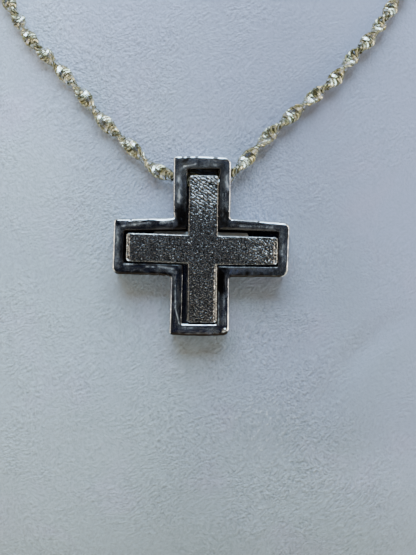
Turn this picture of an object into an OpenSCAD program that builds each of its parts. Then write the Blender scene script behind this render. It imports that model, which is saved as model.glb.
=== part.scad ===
// A cross necklace lying on a small display bust.
// Millimetres, +Z up, the front looks along -Y.
// The origin is the centre of the flat base that the bust stands on.

/* [Pendant frame] */
// Width of the arms
arm_w = 7.9; // [7.8:0.1:9]
// Reach of the top arm from the crossing
top_reach = 12.45; // [12.4:0.05:14]
// Reach of the bottom arm
bottom_reach = 11.95; // [11.9:0.05:14]
// Reach of the left arm
left_reach = 12.0; // [11.9:0.05:14]
// Reach of the right arm
right_reach = 12.1; // [12:0.05:14]
// Depth of the frame from front to back
frame_depth = 4.0; // [3.9:0.1:5]
// Width of the rim along the arms
rim_w = 1.55; // [1.3:0.05:1.6]
// Width of the rim across the ends of the side arms
end_rim_w = 1.4; // [1.2:0.05:1.5]
// Width of the rim across the end of the bottom arm
foot_rim_w = 1.45; // [1.3:0.05:1.6]
// Radius of the worn edges of the rim
edge_r = 0.28; // [0.15:0.01:0.4]
// Thickness of the back wall
back_wall = 0.8; // [0.6:0.05:1.2]

/* [Inner cross] */
// Width of its arms
inner_arm_w = 4.0; // [3.6:0.1:4]
// Reach of its top arm from its own crossing
inner_top = 10.2; // [9:0.05:10.4]
// Reach of its bottom arm
inner_bottom = 10.05; // [9:0.05:10.1]
// Reach of its left arm
inner_left = 10.55; // [9:0.05:10.6]
// Reach of its right arm
inner_right = 10.25; // [9:0.05:10.3]
// How far it sits to the right of the frame's crossing
inner_shift = 0.33; // [0:0.01:0.34]
// How far it sits below the frame's crossing
inner_drop = 0.22; // [0:0.01:0.25]
// Thickness of the slab
inner_t = 1.35; // [1:0.05:1.6]
// How far its face stands in front of the rim
inner_proud = 0.3; // [0:0.05:0.6]
// Softened edge of the face
inner_edge = 0.3; // [0.1:0.05:0.5]

/* [Boss behind the inner cross] */
// Width of its bar across the side arms
boss_bar_w = 13.2; // [10:0.1:16]
// Reach of its post up the top arm
boss_up = 8.2; // [5:0.1:8.3]
// Clear gap between the boss and the walls of the opening
boss_gap = 0.15; // [0.1:0.05:0.3]
// Fine joint between the boss and the inner cross
seat_gap = 0.05; // [0.02:0.01:0.1]

/* [Chain passage] */
// Width of the slot through the two side walls, front to back
slot_w = 2.3; // [2.2:0.05:2.4]
// Height of the slot
slot_h = 3.1; // [3:0.05:3.2]
// Middle of the slot above the crossing
slot_rise = 10.15; // [10.1:0.05:10.2]
// Middle of the slot behind the rim's face
slot_back = 2.3; // [2.25:0.05:2.4]

/* [Chain] */
// Diameter of the space that the twisted links fill
chain_d = 1.5; // [1.2:0.05:1.6]
// Clear gap between the lying chain and the bust
chain_gap = 0.25; // [0.15:0.05:0.4]

/* [Clasp] */
// Outer diameter of the spring ring
clasp_d = 5.8; // [5:0.1:7]
// Thickness of the ring's tube
clasp_wire = 1.2; // [1:0.1:1.5]
// Outer diameter of the two end eyes
eye_d = 2.4; // [2:0.1:3]
// Wire of the two end eyes
eye_wire = 0.6; // [0.5:0.05:0.8]

/* [Place on the bust] */
// Height of the pendant's crossing
pendant_z = 62; // [58:0.5:68]
// Turn of the pendant, clockwise seen from the front
pendant_turn = 1.2; // [0:0.1:3]
// Clear gap behind the pendant
pendant_gap = 0.12; // [0.1:0.01:0.3]
// Height of the clasp on the nape
clasp_z = 170.5; // [168:0.5:172]

/* [Hidden] */

// Sections of the bust, lowest first
HALF_W = 1;
FRONT = 2;
BACK = 3;
SQUARE = 4;
// columns: height, half width, reach to the front, reach to the back, squareness
BUST = [
    [0, 60, 41, 37, 2.5],
    [8, 64, 44.5, 40, 2.5],
    [22, 70, 48, 42, 2.45],
    [38, 77, 48.5, 43, 2.4],
    [53, 83, 46.1, 43.5, 2.4],
    [68, 88, 43.7, 44, 2.35],
    [83, 91, 41.3, 44.5, 2.3],
    [98, 91, 38.9, 45, 2.25],
    [112, 86, 36.2, 45.5, 2.2],
    [124, 76.5, 33.2, 46, 2.15],
    [136, 65.5, 30.4, 46.5, 2.1],
    [150, 57, 28, 47, 2.05],
    [168, 53, 26.5, 47, 2],
    [186, 52.5, 26.5, 48, 2],
    [200, 53.5, 27.5, 49, 2]
];
bust_h = BUST[len(BUST) - 1][0];
bust_edge = 2.5;
// Rounding of its lower and upper edge, as shares of bust_edge
// columns: distance from the edge, inset
FOOT_EDGE = [[0, 0.6], [0.3, 0.2]];
CROWN_EDGE = [[0.3, 0.3], [0, 1]];
bust_sides = 64;
bust_levels = 34;

// Course of the chain, from the clasp's left eye round the neck, down through the pendant and up again
HEIGHT = 1;
LIFT = 2;
RINGS = 3;
lying = chain_d / 2 + chain_gap;
rising = lying + 0.3;
passing = lying + 0.7;
hung = pendant_gap + frame_depth - slot_back;
// columns: turn round the bust from its front, height, lift off its skin, rings up to the next row
ROUTE = [
    [-174.4, 170.3, lying, 2], [-160, 167.1, lying, 2], [-146, 164.5, lying, 2],
    [-132, 161.9, lying, 2], [-118, 159.2, lying, 2], [-104, 156.2, lying, 2],
    [-91, 152.9, lying, 2], [-79, 149.1, lying, 2], [-69, 145.2, lying, 2],
    [-59, 140.6, lying, 2], [-50, 135.6, lying, 2], [-42, 130.5, lying, 2],
    [-35, 125.1, lying, 2], [-28, 118.1, lying, 2], [-22, 110, lying, 1],
    [-18, 103.1, lying, 1], [-15, 96.9, lying, 1], [-12.7, 91.3, lying, 1],
    [-11, 88.6, lying, 1], [-9.4, 85.8, lying, 1], [-8, 83.1, lying, 1],
    [-6.5, 79.8, lying, 1], [-4.5, 76.4, lying, 1], [-2.7, 73.1, rising, 1],
    [-1.6, 72.1, passing, 1], [-0.7, 71.6, hung, 1], [0, 71.4, hung, 1],
    [0.9, 71.6, hung, 1], [1.7, 72.3, passing, 1], [2.7, 74.4, rising, 1],
    [4.2, 78, lying, 1], [5.6, 80.4, lying, 1], [7.5, 83.3, lying, 1],
    [9.5, 86.1, lying, 1], [11, 89.1, lying, 1], [12.8, 92.2, lying, 1],
    [15, 96.9, lying, 1], [18, 103.1, lying, 1], [22, 110, lying, 2],
    [28, 118.1, lying, 2], [35, 125.1, lying, 2], [42, 130.5, lying, 2],
    [50, 135.6, lying, 2], [59, 140.6, lying, 2], [69, 145.2, lying, 2],
    [79, 149.1, lying, 2], [91, 152.9, lying, 2], [104, 156.2, lying, 2],
    [118, 159.2, lying, 2], [132, 161.9, lying, 2], [146, 164.5, lying, 2],
    [160, 167.1, lying, 2], [174.4, 170.3, lying, 1]
];
chain_sides = 8;

// Crosses are drawn from the crossing out, as [half width, left, right, top, bottom].
outer_size = [arm_w / 2, left_reach, right_reach, top_reach, bottom_reach];
opening_size = outer_size - [rim_w, end_rim_w, end_rim_w, rim_w, foot_rim_w];
inner_size = [inner_arm_w / 2, inner_left, inner_right, inner_top, inner_bottom];
// Hand finish, corner by corner, going left-handed from the lower corner of the right arm's end
// columns: how far the corner lies to the right and above the square one, and its radius
OUTER_FINISH = [
    [0, 0.2, 0.45], [0, -0.2, 0.7], [0.05, 0.15, 0.3],
    [0, 0.05, 0.7], [-0.15, 0, 0.2], [0.05, 0.15, 0.25],
    [0, -0.2, 0.3], [0, 0.25, 0.45], [0, 0.2, 0.55],
    [0, -0.05, 0.25], [0, 0.1, 0.4], [-0.15, 0.05, 0.35]
];
OPENING_FINISH = [
    [0, -0.05, 0.2], [0.05, 0.05, 0.2], [0.05, 0.2, 0.2],
    [0, 0.05, 0.2], [0.35, -0.05, 0.2], [0.4, 0, 0.2],
    [0, -0.35, 0.2], [0, 0.1, 0.2], [0, 0, 0.2],
    [0, 0, 0.2], [0.1, 0.05, 0.4], [0, -0.1, 0.2]
];
INNER_FINISH = [
    [0, 0.1, 0.35], [0.05, 0, 0.4], [0, 0, 0.15],
    [-0.05, 0, 0.4], [-0.05, -0.05, 0.35], [-0.05, 0.05, 0.15],
    [0, 0.1, 0.4], [0, 0.15, 0.4], [0, 0, 0.15],
    [0.1, -0.05, 0.35], [0.1, 0, 0.4], [0, -0.1, 0.15]
];
inner_back = inner_t - inner_proud;
// The window and the post are narrower than the opening, and stand right of its middle as it does
window_low = boss_up + 0.2;
window_ledge = 0.4;
window_shift = 0.2;
post_ledge = 0.2;
post_shift = 0.15;
// How far the boss runs into the back wall
sunk = 0.1;
boss_r = 0.4;
// Share of a rounded edge's radius that its middle step is drawn in
edge_mid = 0.3;
inner_back_edge = 0.08;
least_r = 0.06;
corner_steps = 4;
past = 1;
hair = 0.01;

function unit(v) = v / norm(v);

// Slope of one column of a table at one of its rows
function slope(table, row, column) =
    let (
        low = max(row - 1, 0),
        high = min(row + 1, len(table) - 1)
    )
    (table[high][column] - table[low][column]) / (table[high][0] - table[low][0]);

// Value of one column between the rows, on a smooth curve over the table's first column
function smooth(table, at, column) =
    let (
        row = max([for (i = [0 : len(table) - 2]) table[i][0] <= at ? i : 0]),
        step = table[row + 1][0] - table[row][0],
        u = (at - table[row][0]) / step,
        ease = u * u * (3 - 2 * u),
        leave = u * (1 - u) * (1 - u) * step * slope(table, row, column),
        arrive = u * u * (u - 1) * step * slope(table, row + 1, column)
    )
    table[row][column] * (1 - ease) + table[row + 1][column] * ease + leave + arrive;

function softened(value, squareness) = sign(value) * pow(abs(value), 2 / squareness);

// Point of the bust's skin at a height and a turn from the front, positive to the right
function skin(turn, z, inset = 0) =
    let (
        square = smooth(BUST, z, SQUARE),
        front = smooth(BUST, z, FRONT),
        back = smooth(BUST, z, BACK),
        half_w = smooth(BUST, z, HALF_W) - inset,
        half_d = (front + back) / 2 - inset
    )
    [half_w * softened(sin(turn), square), (back - front) / 2 - half_d * softened(cos(turn), square), z];

function skin_normal(turn, z) =
    let (
        d = 0.05,
        round_it = skin(turn + d, z) - skin(turn - d, z),
        up_it = skin(turn, z + d) - skin(turn, z - d)
    )
    unit(cross(round_it, up_it));

function above_skin(turn, z, lift) = skin(turn, z) + lift * skin_normal(turn, z);

// Inward normal of the side that runs from p to q
function inward(p, q) = let (along = unit(q - p)) [-along[1], along[0]];

// Corner c between p and q, drawn in by an inset
function inset_corner(p, c, q, inset) =
    let (
        before = inward(p, c),
        after = inward(c, q)
    )
    c + inset * (before + after) / (1 + before * after);

// Corner c between p and q, rounded with radius r
function rounded_corner(p, c, q, r) =
    let (
        back = unit(p - c),
        ahead = unit(q - c)
    )
    [for (s = [0 : corner_steps])
        let (a = 90 * s / corner_steps)
        c + r * (back + ahead) - r * (ahead * cos(a) + back * sin(a))];

// The twelve square corners of a cross
function cross_corners(size) =
    let (
        h = size[0],
        left = -size[1],
        right = size[2],
        top = size[3],
        bottom = -size[4]
    )
    [[right, -h], [right, h], [h, h], [h, top], [-h, top], [-h, h],
     [left, h], [left, -h], [-h, -h], [-h, bottom], [h, bottom], [h, -h]];

// Rounded outline of a cross with its hand finish, drawn in by an inset
function cross_outline(size, finish, inset) =
    let (
        square = cross_corners(size),
        n = len(square),
        filed = [for (i = [0 : n - 1]) square[i] + [finish[i][0], finish[i][1]]],
        drawn = [for (i = [0 : n - 1])
            inset_corner(filed[(i + n - 1) % n], filed[i], filed[(i + 1) % n], inset)]
    )
    [for (i = [0 : n - 1])
        let (r = finish[i][2] + (i % 3 == 2 ? inset : -inset))
        each rounded_corner(drawn[(i + n - 1) % n], drawn[i], drawn[(i + 1) % n], max(r, least_r))];

function middle(ring) = [for (point = ring) 1] * ring / len(ring);

// Closed solid through rings of points, each ring running right-handed round the way it goes.
// Each end is closed by a fan round its middle, which sees the whole ring.
module loft(rings) {
    n = len(rings[0]);
    last = len(rings) - 1;
    start = n * len(rings);
    end = start + 1;
    walls = [for (k = [0 : last - 1], i = [0 : n - 1])
        let (
            a = k * n + i,
            b = k * n + (i + 1) % n
        )
        each [[a, a + n, b + n], [a, b + n, b]]];
    caps = [for (i = [0 : n - 1])
        let (next = (i + 1) % n)
        each [[start, i, next], [end, last * n + next, last * n + i]]];
    points = [for (ring = rings) each ring];
    polyhedron(concat(points, [middle(rings[0]), middle(rings[last])]), concat(walls, caps), 10);
}

// Cross-shaped solid through a list of steps, each a height and an inset
module cross_loft(size, finish, steps) {
    loft([for (step = steps)
        [for (p = cross_outline(size, finish, step[1])) [p[0], p[1], step[0]]]]);
}

// Puts a piece drawn in the rim's plane, with its face up, on the bust's front
module on_chest() {
    seat = above_skin(0, pendant_z, pendant_gap + frame_depth);
    normal = skin_normal(0, pendant_z);
    translate(seat)
        rotate([acos(normal[2]), 0, 0])
            rotate([0, 0, -pendant_turn])
                children();
}

module neck_bust() {
    run = bust_h - 2 * bust_edge;
    levels = concat(
        bust_edge * FOOT_EDGE,
        [for (i = [0 : bust_levels]) [bust_edge + run * i / bust_levels, 0]],
        [for (step = bust_edge * CROWN_EDGE) [bust_h - step[0], step[1]]]
    );
    color([0.83, 0.86, 0.91])
        loft([for (level = levels)
            [for (i = [0 : bust_sides - 1]) skin(360 * i / bust_sides - 180, level[0], level[1])]]);
}

// Rim, side walls and back wall of the outer cross, with the boss that carries the inner one
module frame() {
    color([0.62, 0.64, 0.68])
        on_chest() {
            difference() {
                cross_loft(outer_size, OUTER_FINISH, [
                    [-frame_depth, edge_r],
                    [-frame_depth + edge_mid * edge_r, edge_mid * edge_r],
                    [-frame_depth + edge_r, 0],
                    [-edge_r, 0],
                    [-edge_mid * edge_r, edge_mid * edge_r],
                    [0, edge_r]
                ]);
                cross_loft(opening_size, OPENING_FINISH, [
                    [-frame_depth + back_wall, 0],
                    [-edge_r, 0],
                    [-edge_mid * edge_r, -edge_mid * edge_r],
                    [hair, -edge_r],
                    [past, -edge_r]
                ]);
                chain_slot();
                top_window();
            }
            boss();
        }
}

// Upright slot through both side walls of the top arm
module chain_slot() {
    half_run = (slot_h - slot_w) / 2;
    length = arm_w + 2 * past;
    translate([0, slot_rise, -slot_back]) {
        for (side = [-1, 1])
            translate([-length / 2, side * half_run, 0])
                rotate([0, 90, 0])
                    cylinder(d = slot_w, h = length, $fn = 48);
        cube([length, 2 * half_run, slot_w], center = true);
    }
}

// Window through the back wall behind the chain
module top_window() {
    half_w = opening_size[0] - window_ledge;
    translate([window_shift - half_w, window_low, -frame_depth - past])
        cube([2 * half_w, opening_size[3] - window_low, frame_depth]);
}

// Bar and post that stand up from the back wall to the back of the inner cross
module boss() {
    height = frame_depth - back_wall - inner_back - seat_gap + sunk;
    bar_h = 2 * (opening_size[0] - boss_gap);
    post_w = 2 * (opening_size[0] - post_ledge - boss_gap);
    post_down = opening_size[4] - boss_gap;
    translate([0, 0, -frame_depth + back_wall - sunk])
        linear_extrude(height) {
            square([boss_bar_w - 2 * boss_r, bar_h], center = true);
            square([boss_bar_w, bar_h - 2 * boss_r], center = true);
            for (x = [-1, 1], y = [-1, 1])
                translate([x * (boss_bar_w / 2 - boss_r), y * (bar_h / 2 - boss_r)])
                    circle(r = boss_r, $fn = 32);
            translate([post_shift - post_w / 2, -post_down])
                square([post_w, post_down + boss_up]);
        }
}

// Cast slab with a softened face, seated on the boss
module inner_cross() {
    color([0.5, 0.49, 0.48])
        on_chest()
            translate([inner_shift, -inner_drop, 0])
                cross_loft(inner_size, INNER_FINISH, [
                    [-inner_back, inner_back_edge],
                    [-inner_back + inner_back_edge, 0],
                    [inner_proud - inner_edge, 0],
                    [inner_proud - edge_mid * inner_edge, edge_mid * inner_edge],
                    [inner_proud, inner_edge]
                ]);
}

// Space that the links fill
module chain() {
    turns = [for (i = [0 : len(ROUTE) - 2], k = [0 : ROUTE[i][RINGS] - 1])
        ROUTE[i][0] + (ROUTE[i + 1][0] - ROUTE[i][0]) * k / ROUTE[i][RINGS]];
    stops = concat(turns, [ROUTE[len(ROUTE) - 1][0]]);
    normals = [for (turn = stops) skin_normal(turn, smooth(ROUTE, turn, HEIGHT))];
    points = [for (i = [0 : len(stops) - 1])
        skin(stops[i], smooth(ROUTE, stops[i], HEIGHT)) + smooth(ROUTE, stops[i], LIFT) * normals[i]];
    last = len(points) - 1;
    color([0.86, 0.85, 0.74])
        loft([for (i = [0 : last])
            let (
                along = unit(points[min(i + 1, last)] - points[max(i - 1, 0)]),
                across = unit(cross(along, normals[i])),
                lifted = cross(across, along)
            )
            [for (s = [0 : chain_sides - 1])
                let (a = 360 * s / chain_sides)
                points[i] + chain_d / 2 * (lifted * cos(a) + across * sin(a))]]);
}

// Closed spring ring with an end eye on each side, lying flat on the nape
module clasp() {
    ring_r = (clasp_d - clasp_wire) / 2;
    eye_r = (eye_d - eye_wire) / 2;
    eye_x = (clasp_d + eye_d) / 2 - eye_wire / 2;
    normal = skin_normal(180, clasp_z);
    color([0.8, 0.8, 0.78])
        translate(above_skin(180, clasp_z, clasp_wire / 2 + chain_gap))
            rotate([-acos(normal[2]), 0, 0]) {
                torus(ring_r, clasp_wire / 2);
                for (side = [-1, 1])
                    translate([side * eye_x, 0, 0])
                        torus(eye_r, eye_wire / 2);
            }
}

module torus(ring_r, wire_r) {
    rotate_extrude($fn = 48)
        translate([ring_r, 0])
            circle(r = wire_r, $fn = 24);
}

neck_bust();
frame();
inner_cross();
chain();
clasp();
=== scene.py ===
"""Looks of a cross necklace that lies on a neck bust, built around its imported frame.

Sizes are in millimetres, +Z is up and the front looks along -Y.
Each class builds one sub-assembly, and its lengths become metres when a mesh is made.
"""

import logging
import math
from collections.abc import Callable
from dataclasses import astuple, dataclass, field
from enum import Enum
from typing import ClassVar

import bpy
import numpy as np
from mathutils import Matrix, Vector, noise
from mathutils.geometry import delaunay_2d_cdt

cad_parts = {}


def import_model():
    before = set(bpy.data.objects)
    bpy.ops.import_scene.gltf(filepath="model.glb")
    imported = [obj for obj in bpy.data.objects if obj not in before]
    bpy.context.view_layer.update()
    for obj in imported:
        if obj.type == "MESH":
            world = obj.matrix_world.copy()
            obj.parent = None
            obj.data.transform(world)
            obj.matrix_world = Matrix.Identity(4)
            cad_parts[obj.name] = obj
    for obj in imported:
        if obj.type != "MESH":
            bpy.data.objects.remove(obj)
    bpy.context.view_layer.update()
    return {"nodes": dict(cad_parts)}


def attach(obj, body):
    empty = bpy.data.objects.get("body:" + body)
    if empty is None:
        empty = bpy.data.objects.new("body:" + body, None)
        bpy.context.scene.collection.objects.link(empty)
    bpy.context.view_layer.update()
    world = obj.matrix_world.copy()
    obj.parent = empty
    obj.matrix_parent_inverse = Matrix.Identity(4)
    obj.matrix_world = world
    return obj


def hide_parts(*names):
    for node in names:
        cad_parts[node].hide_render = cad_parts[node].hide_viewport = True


MM = 0.001
ROOT = "root"
Colour = tuple[float, float, float]
Point = tuple[float, float, float]

log = logging.getLogger("necklace")


def rgba(colour: Colour) -> tuple[float, float, float, float]:
    """Returns a colour with full alpha."""
    return (*colour, 1.0)


def unit(vector: np.ndarray) -> np.ndarray:
    """Returns the vectors along the last axis at length one."""
    return vector / np.linalg.norm(vector, axis=-1, keepdims=True)


def ease(value: np.ndarray) -> np.ndarray:
    """Returns a smooth step of values held between zero and one."""
    held = np.clip(value, 0.0, 1.0)
    return held * held * (3.0 - 2.0 * held)


def smooth(table: np.ndarray, at: np.ndarray, column: int) -> np.ndarray:
    """Reads one column of a table on a smooth curve over its first column.

    Args:
        table: Rows in order of their first column.
        at: Values of the first column to read at.
        column: The column to read.

    Returns:
        One value for each place.
    """
    at = np.asarray(at, float)
    rows = np.arange(len(table))
    low, high = np.maximum(rows - 1, 0), np.minimum(rows + 1, len(table) - 1)
    slopes = (table[high, column] - table[low, column]) / (table[high, 0] - table[low, 0])
    row = np.clip(np.searchsorted(table[:, 0], at, side="right") - 1, 0, len(table) - 2)
    step = table[row + 1, 0] - table[row, 0]
    share = (at - table[row, 0]) / step
    eased = share * share * (3.0 - 2.0 * share)
    leave = share * (1.0 - share) ** 2 * step * slopes[row]
    arrive = share * share * (share - 1.0) * step * slopes[row + 1]
    return table[row, column] * (1.0 - eased) + table[row + 1, column] * eased + leave + arrive


@dataclass(frozen=True)
class Ripple:
    """Smooth noise in a piece's shape: its height, the rough distance between crests, and a seed."""

    height: float
    wavelength: float
    seed: float

    def at(self, places: np.ndarray) -> np.ndarray:
        """Reads the noise.

        Args:
            places: Points in rows of three.

        Returns:
            One number for each place, from minus to plus the height.
        """
        shift = Vector((self.seed, 1.7 * self.seed, 2.3 * self.seed))
        values = [noise.noise(Vector(place) / self.wavelength + shift) for place in places]
        return self.height * np.array(values)


def ripples(places: np.ndarray, waves: tuple[Ripple, ...]) -> np.ndarray:
    """Returns the sum of several ripples at each place."""
    return sum(wave.at(places) for wave in waves)


def at_height(flat: np.ndarray, height: float | np.ndarray = 0.0) -> np.ndarray:
    """Returns flat points at one height, or each at its own."""
    return np.column_stack([flat, np.broadcast_to(height, len(flat))])


def rounding(radius: float, *degrees: float) -> list[tuple[float, float]]:
    """Returns a rounded edge's inset and drop at each angle, from 0 on its side to 90 on its top."""
    return [(radius * (1 - math.cos(a)), radius * (1 - math.sin(a))) for a in np.radians(degrees)]


def circle(count: int) -> np.ndarray:
    """Returns angles spread round a circle, the first of them half a step on."""
    return np.linspace(0, 2 * math.pi, count, endpoint=False) + math.pi / count


def make_mesh(name: str, points: np.ndarray, faces: list[tuple[int, ...]]) -> bpy.types.Object:
    """Makes a smooth-shaded object from points in millimetres.

    Args:
        name: The object's name.
        points: Its points.
        faces: Indices of each face's points, running left-handed seen from inside.

    Returns:
        The object, at the origin of the scene.
    """
    mesh = bpy.data.meshes.new(name)
    mesh.from_pydata((points * MM).tolist(), [], faces)
    mesh.polygons.foreach_set("use_smooth", [True] * len(mesh.polygons))
    mesh.update()
    piece = bpy.data.objects.new(name, mesh)
    bpy.context.scene.collection.objects.link(piece)
    return piece


def put_attribute(piece: bpy.types.Object, name: str, values: np.ndarray) -> None:
    """Stores one number or one vector at each point of a piece.

    Args:
        piece: The piece.
        name: The attribute's name.
        values: A number, or a row of three, for each point.
    """
    vector = values.ndim == 2
    kind = "FLOAT_VECTOR" if vector else "FLOAT"
    attribute = piece.data.attributes.new(name, kind, "POINT")
    attribute.data.foreach_set("vector" if vector else "value", values.astype(np.float32).ravel())


def grid_faces(rows: int, columns: int) -> list[tuple[int, int, int, int]]:
    """Lists the quads between closed rings of points that follow each other.

    Args:
        rows: How many rings there are.
        columns: How many points each ring has.

    Returns:
        Indices of each quad's points.
    """
    return [
        (row * columns + i, row * columns + (i + 1) % columns,
         (row + 1) * columns + (i + 1) % columns, (row + 1) * columns + i)
        for row in range(rows - 1)
        for i in range(columns)
    ]


def closed_loft(name: str, rings: list[np.ndarray]) -> bpy.types.Object:
    """Makes a closed skin through rings of points, with a fan over each end.

    Args:
        name: The object's name.
        rings: Rings with the same count of points, each running right-handed round the way it goes.

    Returns:
        The object, at the origin of the scene.
    """
    columns, rows = len(rings[0]), len(rings)
    faces = grid_faces(rows, columns)
    start = rows * columns
    last = (rows - 1) * columns
    for i in range(columns):
        after = (i + 1) % columns
        faces.append((start, after, i))
        faces.append((start + 1, last + i, last + after))
    middles = [rings[0].mean(axis=0), rings[-1].mean(axis=0)]
    return make_mesh(name, np.vstack([*rings, middles]), faces)


def arithmetic(operation: str, swapped: bool = False) -> Callable[["Signal", object], "Signal"]:
    """Makes an operator of signals.

    Args:
        operation: What its Math node does.
        swapped: Whether the signal is the node's second side.

    Returns:
        The operator's method.
    """

    def operator(signal: "Signal", other: object) -> "Signal":
        """Returns the node's result."""
        sides = (other, signal) if swapped else (signal, other)
        return signal.tree.add("ShaderNodeMath", dict(enumerate(sides)), operation=operation).out()

    return operator


class Signal:
    """An output socket that can be used in sums."""

    def __init__(self, tree: "NodeTree", socket: bpy.types.NodeSocket) -> None:
        """Keeps the socket and the tree that it belongs to."""
        self.tree = tree
        self.socket = socket

    __add__, __radd__ = arithmetic("ADD"), arithmetic("ADD", swapped=True)
    __sub__, __rsub__ = arithmetic("SUBTRACT"), arithmetic("SUBTRACT", swapped=True)
    __mul__, __rmul__ = arithmetic("MULTIPLY"), arithmetic("MULTIPLY", swapped=True)

    def clamped(self) -> "Signal":
        """Returns the value held between zero and one."""
        return self.tree.add("ShaderNodeClamp", {"Value": self}).out()

    def between(self, low: float, high: float) -> "Signal":
        """Returns a smooth rise from zero at low to one at high."""
        sockets = {"Value": self, "From Min": low, "From Max": high}
        return self.tree.add("ShaderNodeMapRange", sockets, interpolation_type="SMOOTHSTEP").out()


@dataclass(frozen=True)
class Added:
    """A node that was added to a tree."""

    tree: "NodeTree"
    node: bpy.types.Node

    def out(self, name: str | int = 0) -> Signal:
        """Returns one of the node's outputs."""
        return Signal(self.tree, self.node.outputs[name])


@dataclass(frozen=True)
class Grain:
    """Noise of a material: crests a millimetre, detail, and how far it is warped."""

    scale: float
    detail: float = 2.0
    warp: float = 0.0


class NodeTree:
    """Adds nodes to a shader, world or geometry tree."""

    def __init__(self, tree: bpy.types.NodeTree) -> None:
        """Keeps the tree and empties it."""
        self.tree = tree
        self.tree.nodes.clear()

    def add(self, kind: str, sockets: dict[object, object] | None = None, **settings: object) -> Added:
        """Adds one node.

        Args:
            kind: The node's type.
            sockets: Values or signals for its inputs, by name or number.
            settings: Its properties, set before the inputs.

        Returns:
            The node that was added.
        """
        node = self.tree.nodes.new(kind)
        for name, value in settings.items():
            setattr(node, name, value)
        for name, value in (sockets or {}).items():
            if isinstance(value, Signal):
                self.tree.links.new(value.socket, node.inputs[name])
            else:
                node.inputs[name].default_value = value
        return Added(self, node)

    def mix(self, share: object, first: object, second: object) -> Signal:
        """Returns a blend of two colours."""
        first, second = (rgba(value) if isinstance(value, tuple) else value for value in (first, second))
        return self.add("ShaderNodeMix", {0: share, 6: first, 7: second}, data_type="RGBA").out(2)

    def ramp(self, place: Signal, stops: tuple[tuple[float, Colour], ...]) -> Signal:
        """Adds a colour ramp.

        Args:
            place: Place on the ramp, from zero to one.
            stops: Pairs of a place and its colour.

        Returns:
            The colour at the place.
        """
        added = self.add("ShaderNodeValToRGB", {"Fac": place})
        elements = added.node.color_ramp.elements
        while len(elements) < len(stops):
            elements.new(1.0)
        for element, (position, colour) in zip(elements, stops):
            element.position = position
            element.color = rgba(colour)
        return added.out()

    def noise(self, place: Signal, grain: Grain, output: str = "Fac") -> Signal:
        """Returns noise from zero to one."""
        sockets = {"Vector": place, "Scale": grain.scale, "Detail": grain.detail, "Distortion": grain.warp}
        return self.add("ShaderNodeTexNoise", sockets).out(output)

    def vector(self, operation: str, *values: object, output: str = "Vector") -> Signal:
        """Returns what a Vector Math node works out: a vector, or from the output Value a number."""
        return self.add("ShaderNodeVectorMath", dict(enumerate(values)), operation=operation).out(output)

    def along(self, place: Signal, way: Point) -> Signal:
        """Returns how far a place lies along a way."""
        return self.vector("DOT_PRODUCT", place, way, output="Value")

    def joined(self, *values: object) -> Signal:
        """Returns the vector of three numbers."""
        return self.add("ShaderNodeCombineXYZ", dict(enumerate(values))).out()

    def split(self, place: Signal) -> Added:
        """Returns a node whose outputs X, Y and Z are the numbers of a vector."""
        return self.add("ShaderNodeSeparateXYZ", {"Vector": place})

    def attribute(self, name: str, output: str = "Fac") -> Signal:
        """Returns an attribute of the piece's own mesh."""
        return self.add("ShaderNodeAttribute", attribute_type="GEOMETRY", attribute_name=name).out(output)

    def scaled(self, place: Signal, scale: Point) -> Signal:
        """Returns a place scaled along each axis."""
        return self.add("ShaderNodeMapping", {"Vector": place, "Scale": scale}).out()

    def millimetres(self) -> Signal:
        """Returns the place on the piece in millimetres."""
        return self.scaled(self.add("ShaderNodeTexCoord").out("Object"), (1 / MM,) * 3)

    def bump(self, height: Signal, strength: float, depth: float) -> Signal:
        """Returns a normal bent by a height from zero to one, which stands for a depth in millimetres."""
        sockets = {"Height": height, "Strength": strength, "Distance": depth * MM}
        return self.add("ShaderNodeBump", sockets).out()


class Finish:
    """Look of one material, a Principled shader."""

    name: ClassVar[str]

    def sockets(self, tree: NodeTree) -> dict[str, object]:
        """Returns the values and signals of the shader's inputs."""
        raise NotImplementedError

    def material(self) -> bpy.types.Material:
        """Makes the material.

        Returns:
            The material, with a tree of its own.
        """
        material = bpy.data.materials.new(self.name)
        material.use_nodes = True
        tree = NodeTree(material.node_tree)
        principled = tree.add("ShaderNodeBsdfPrincipled", self.sockets(tree)).out()
        tree.add("ShaderNodeOutputMaterial", {"Surface": principled})
        return material


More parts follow.
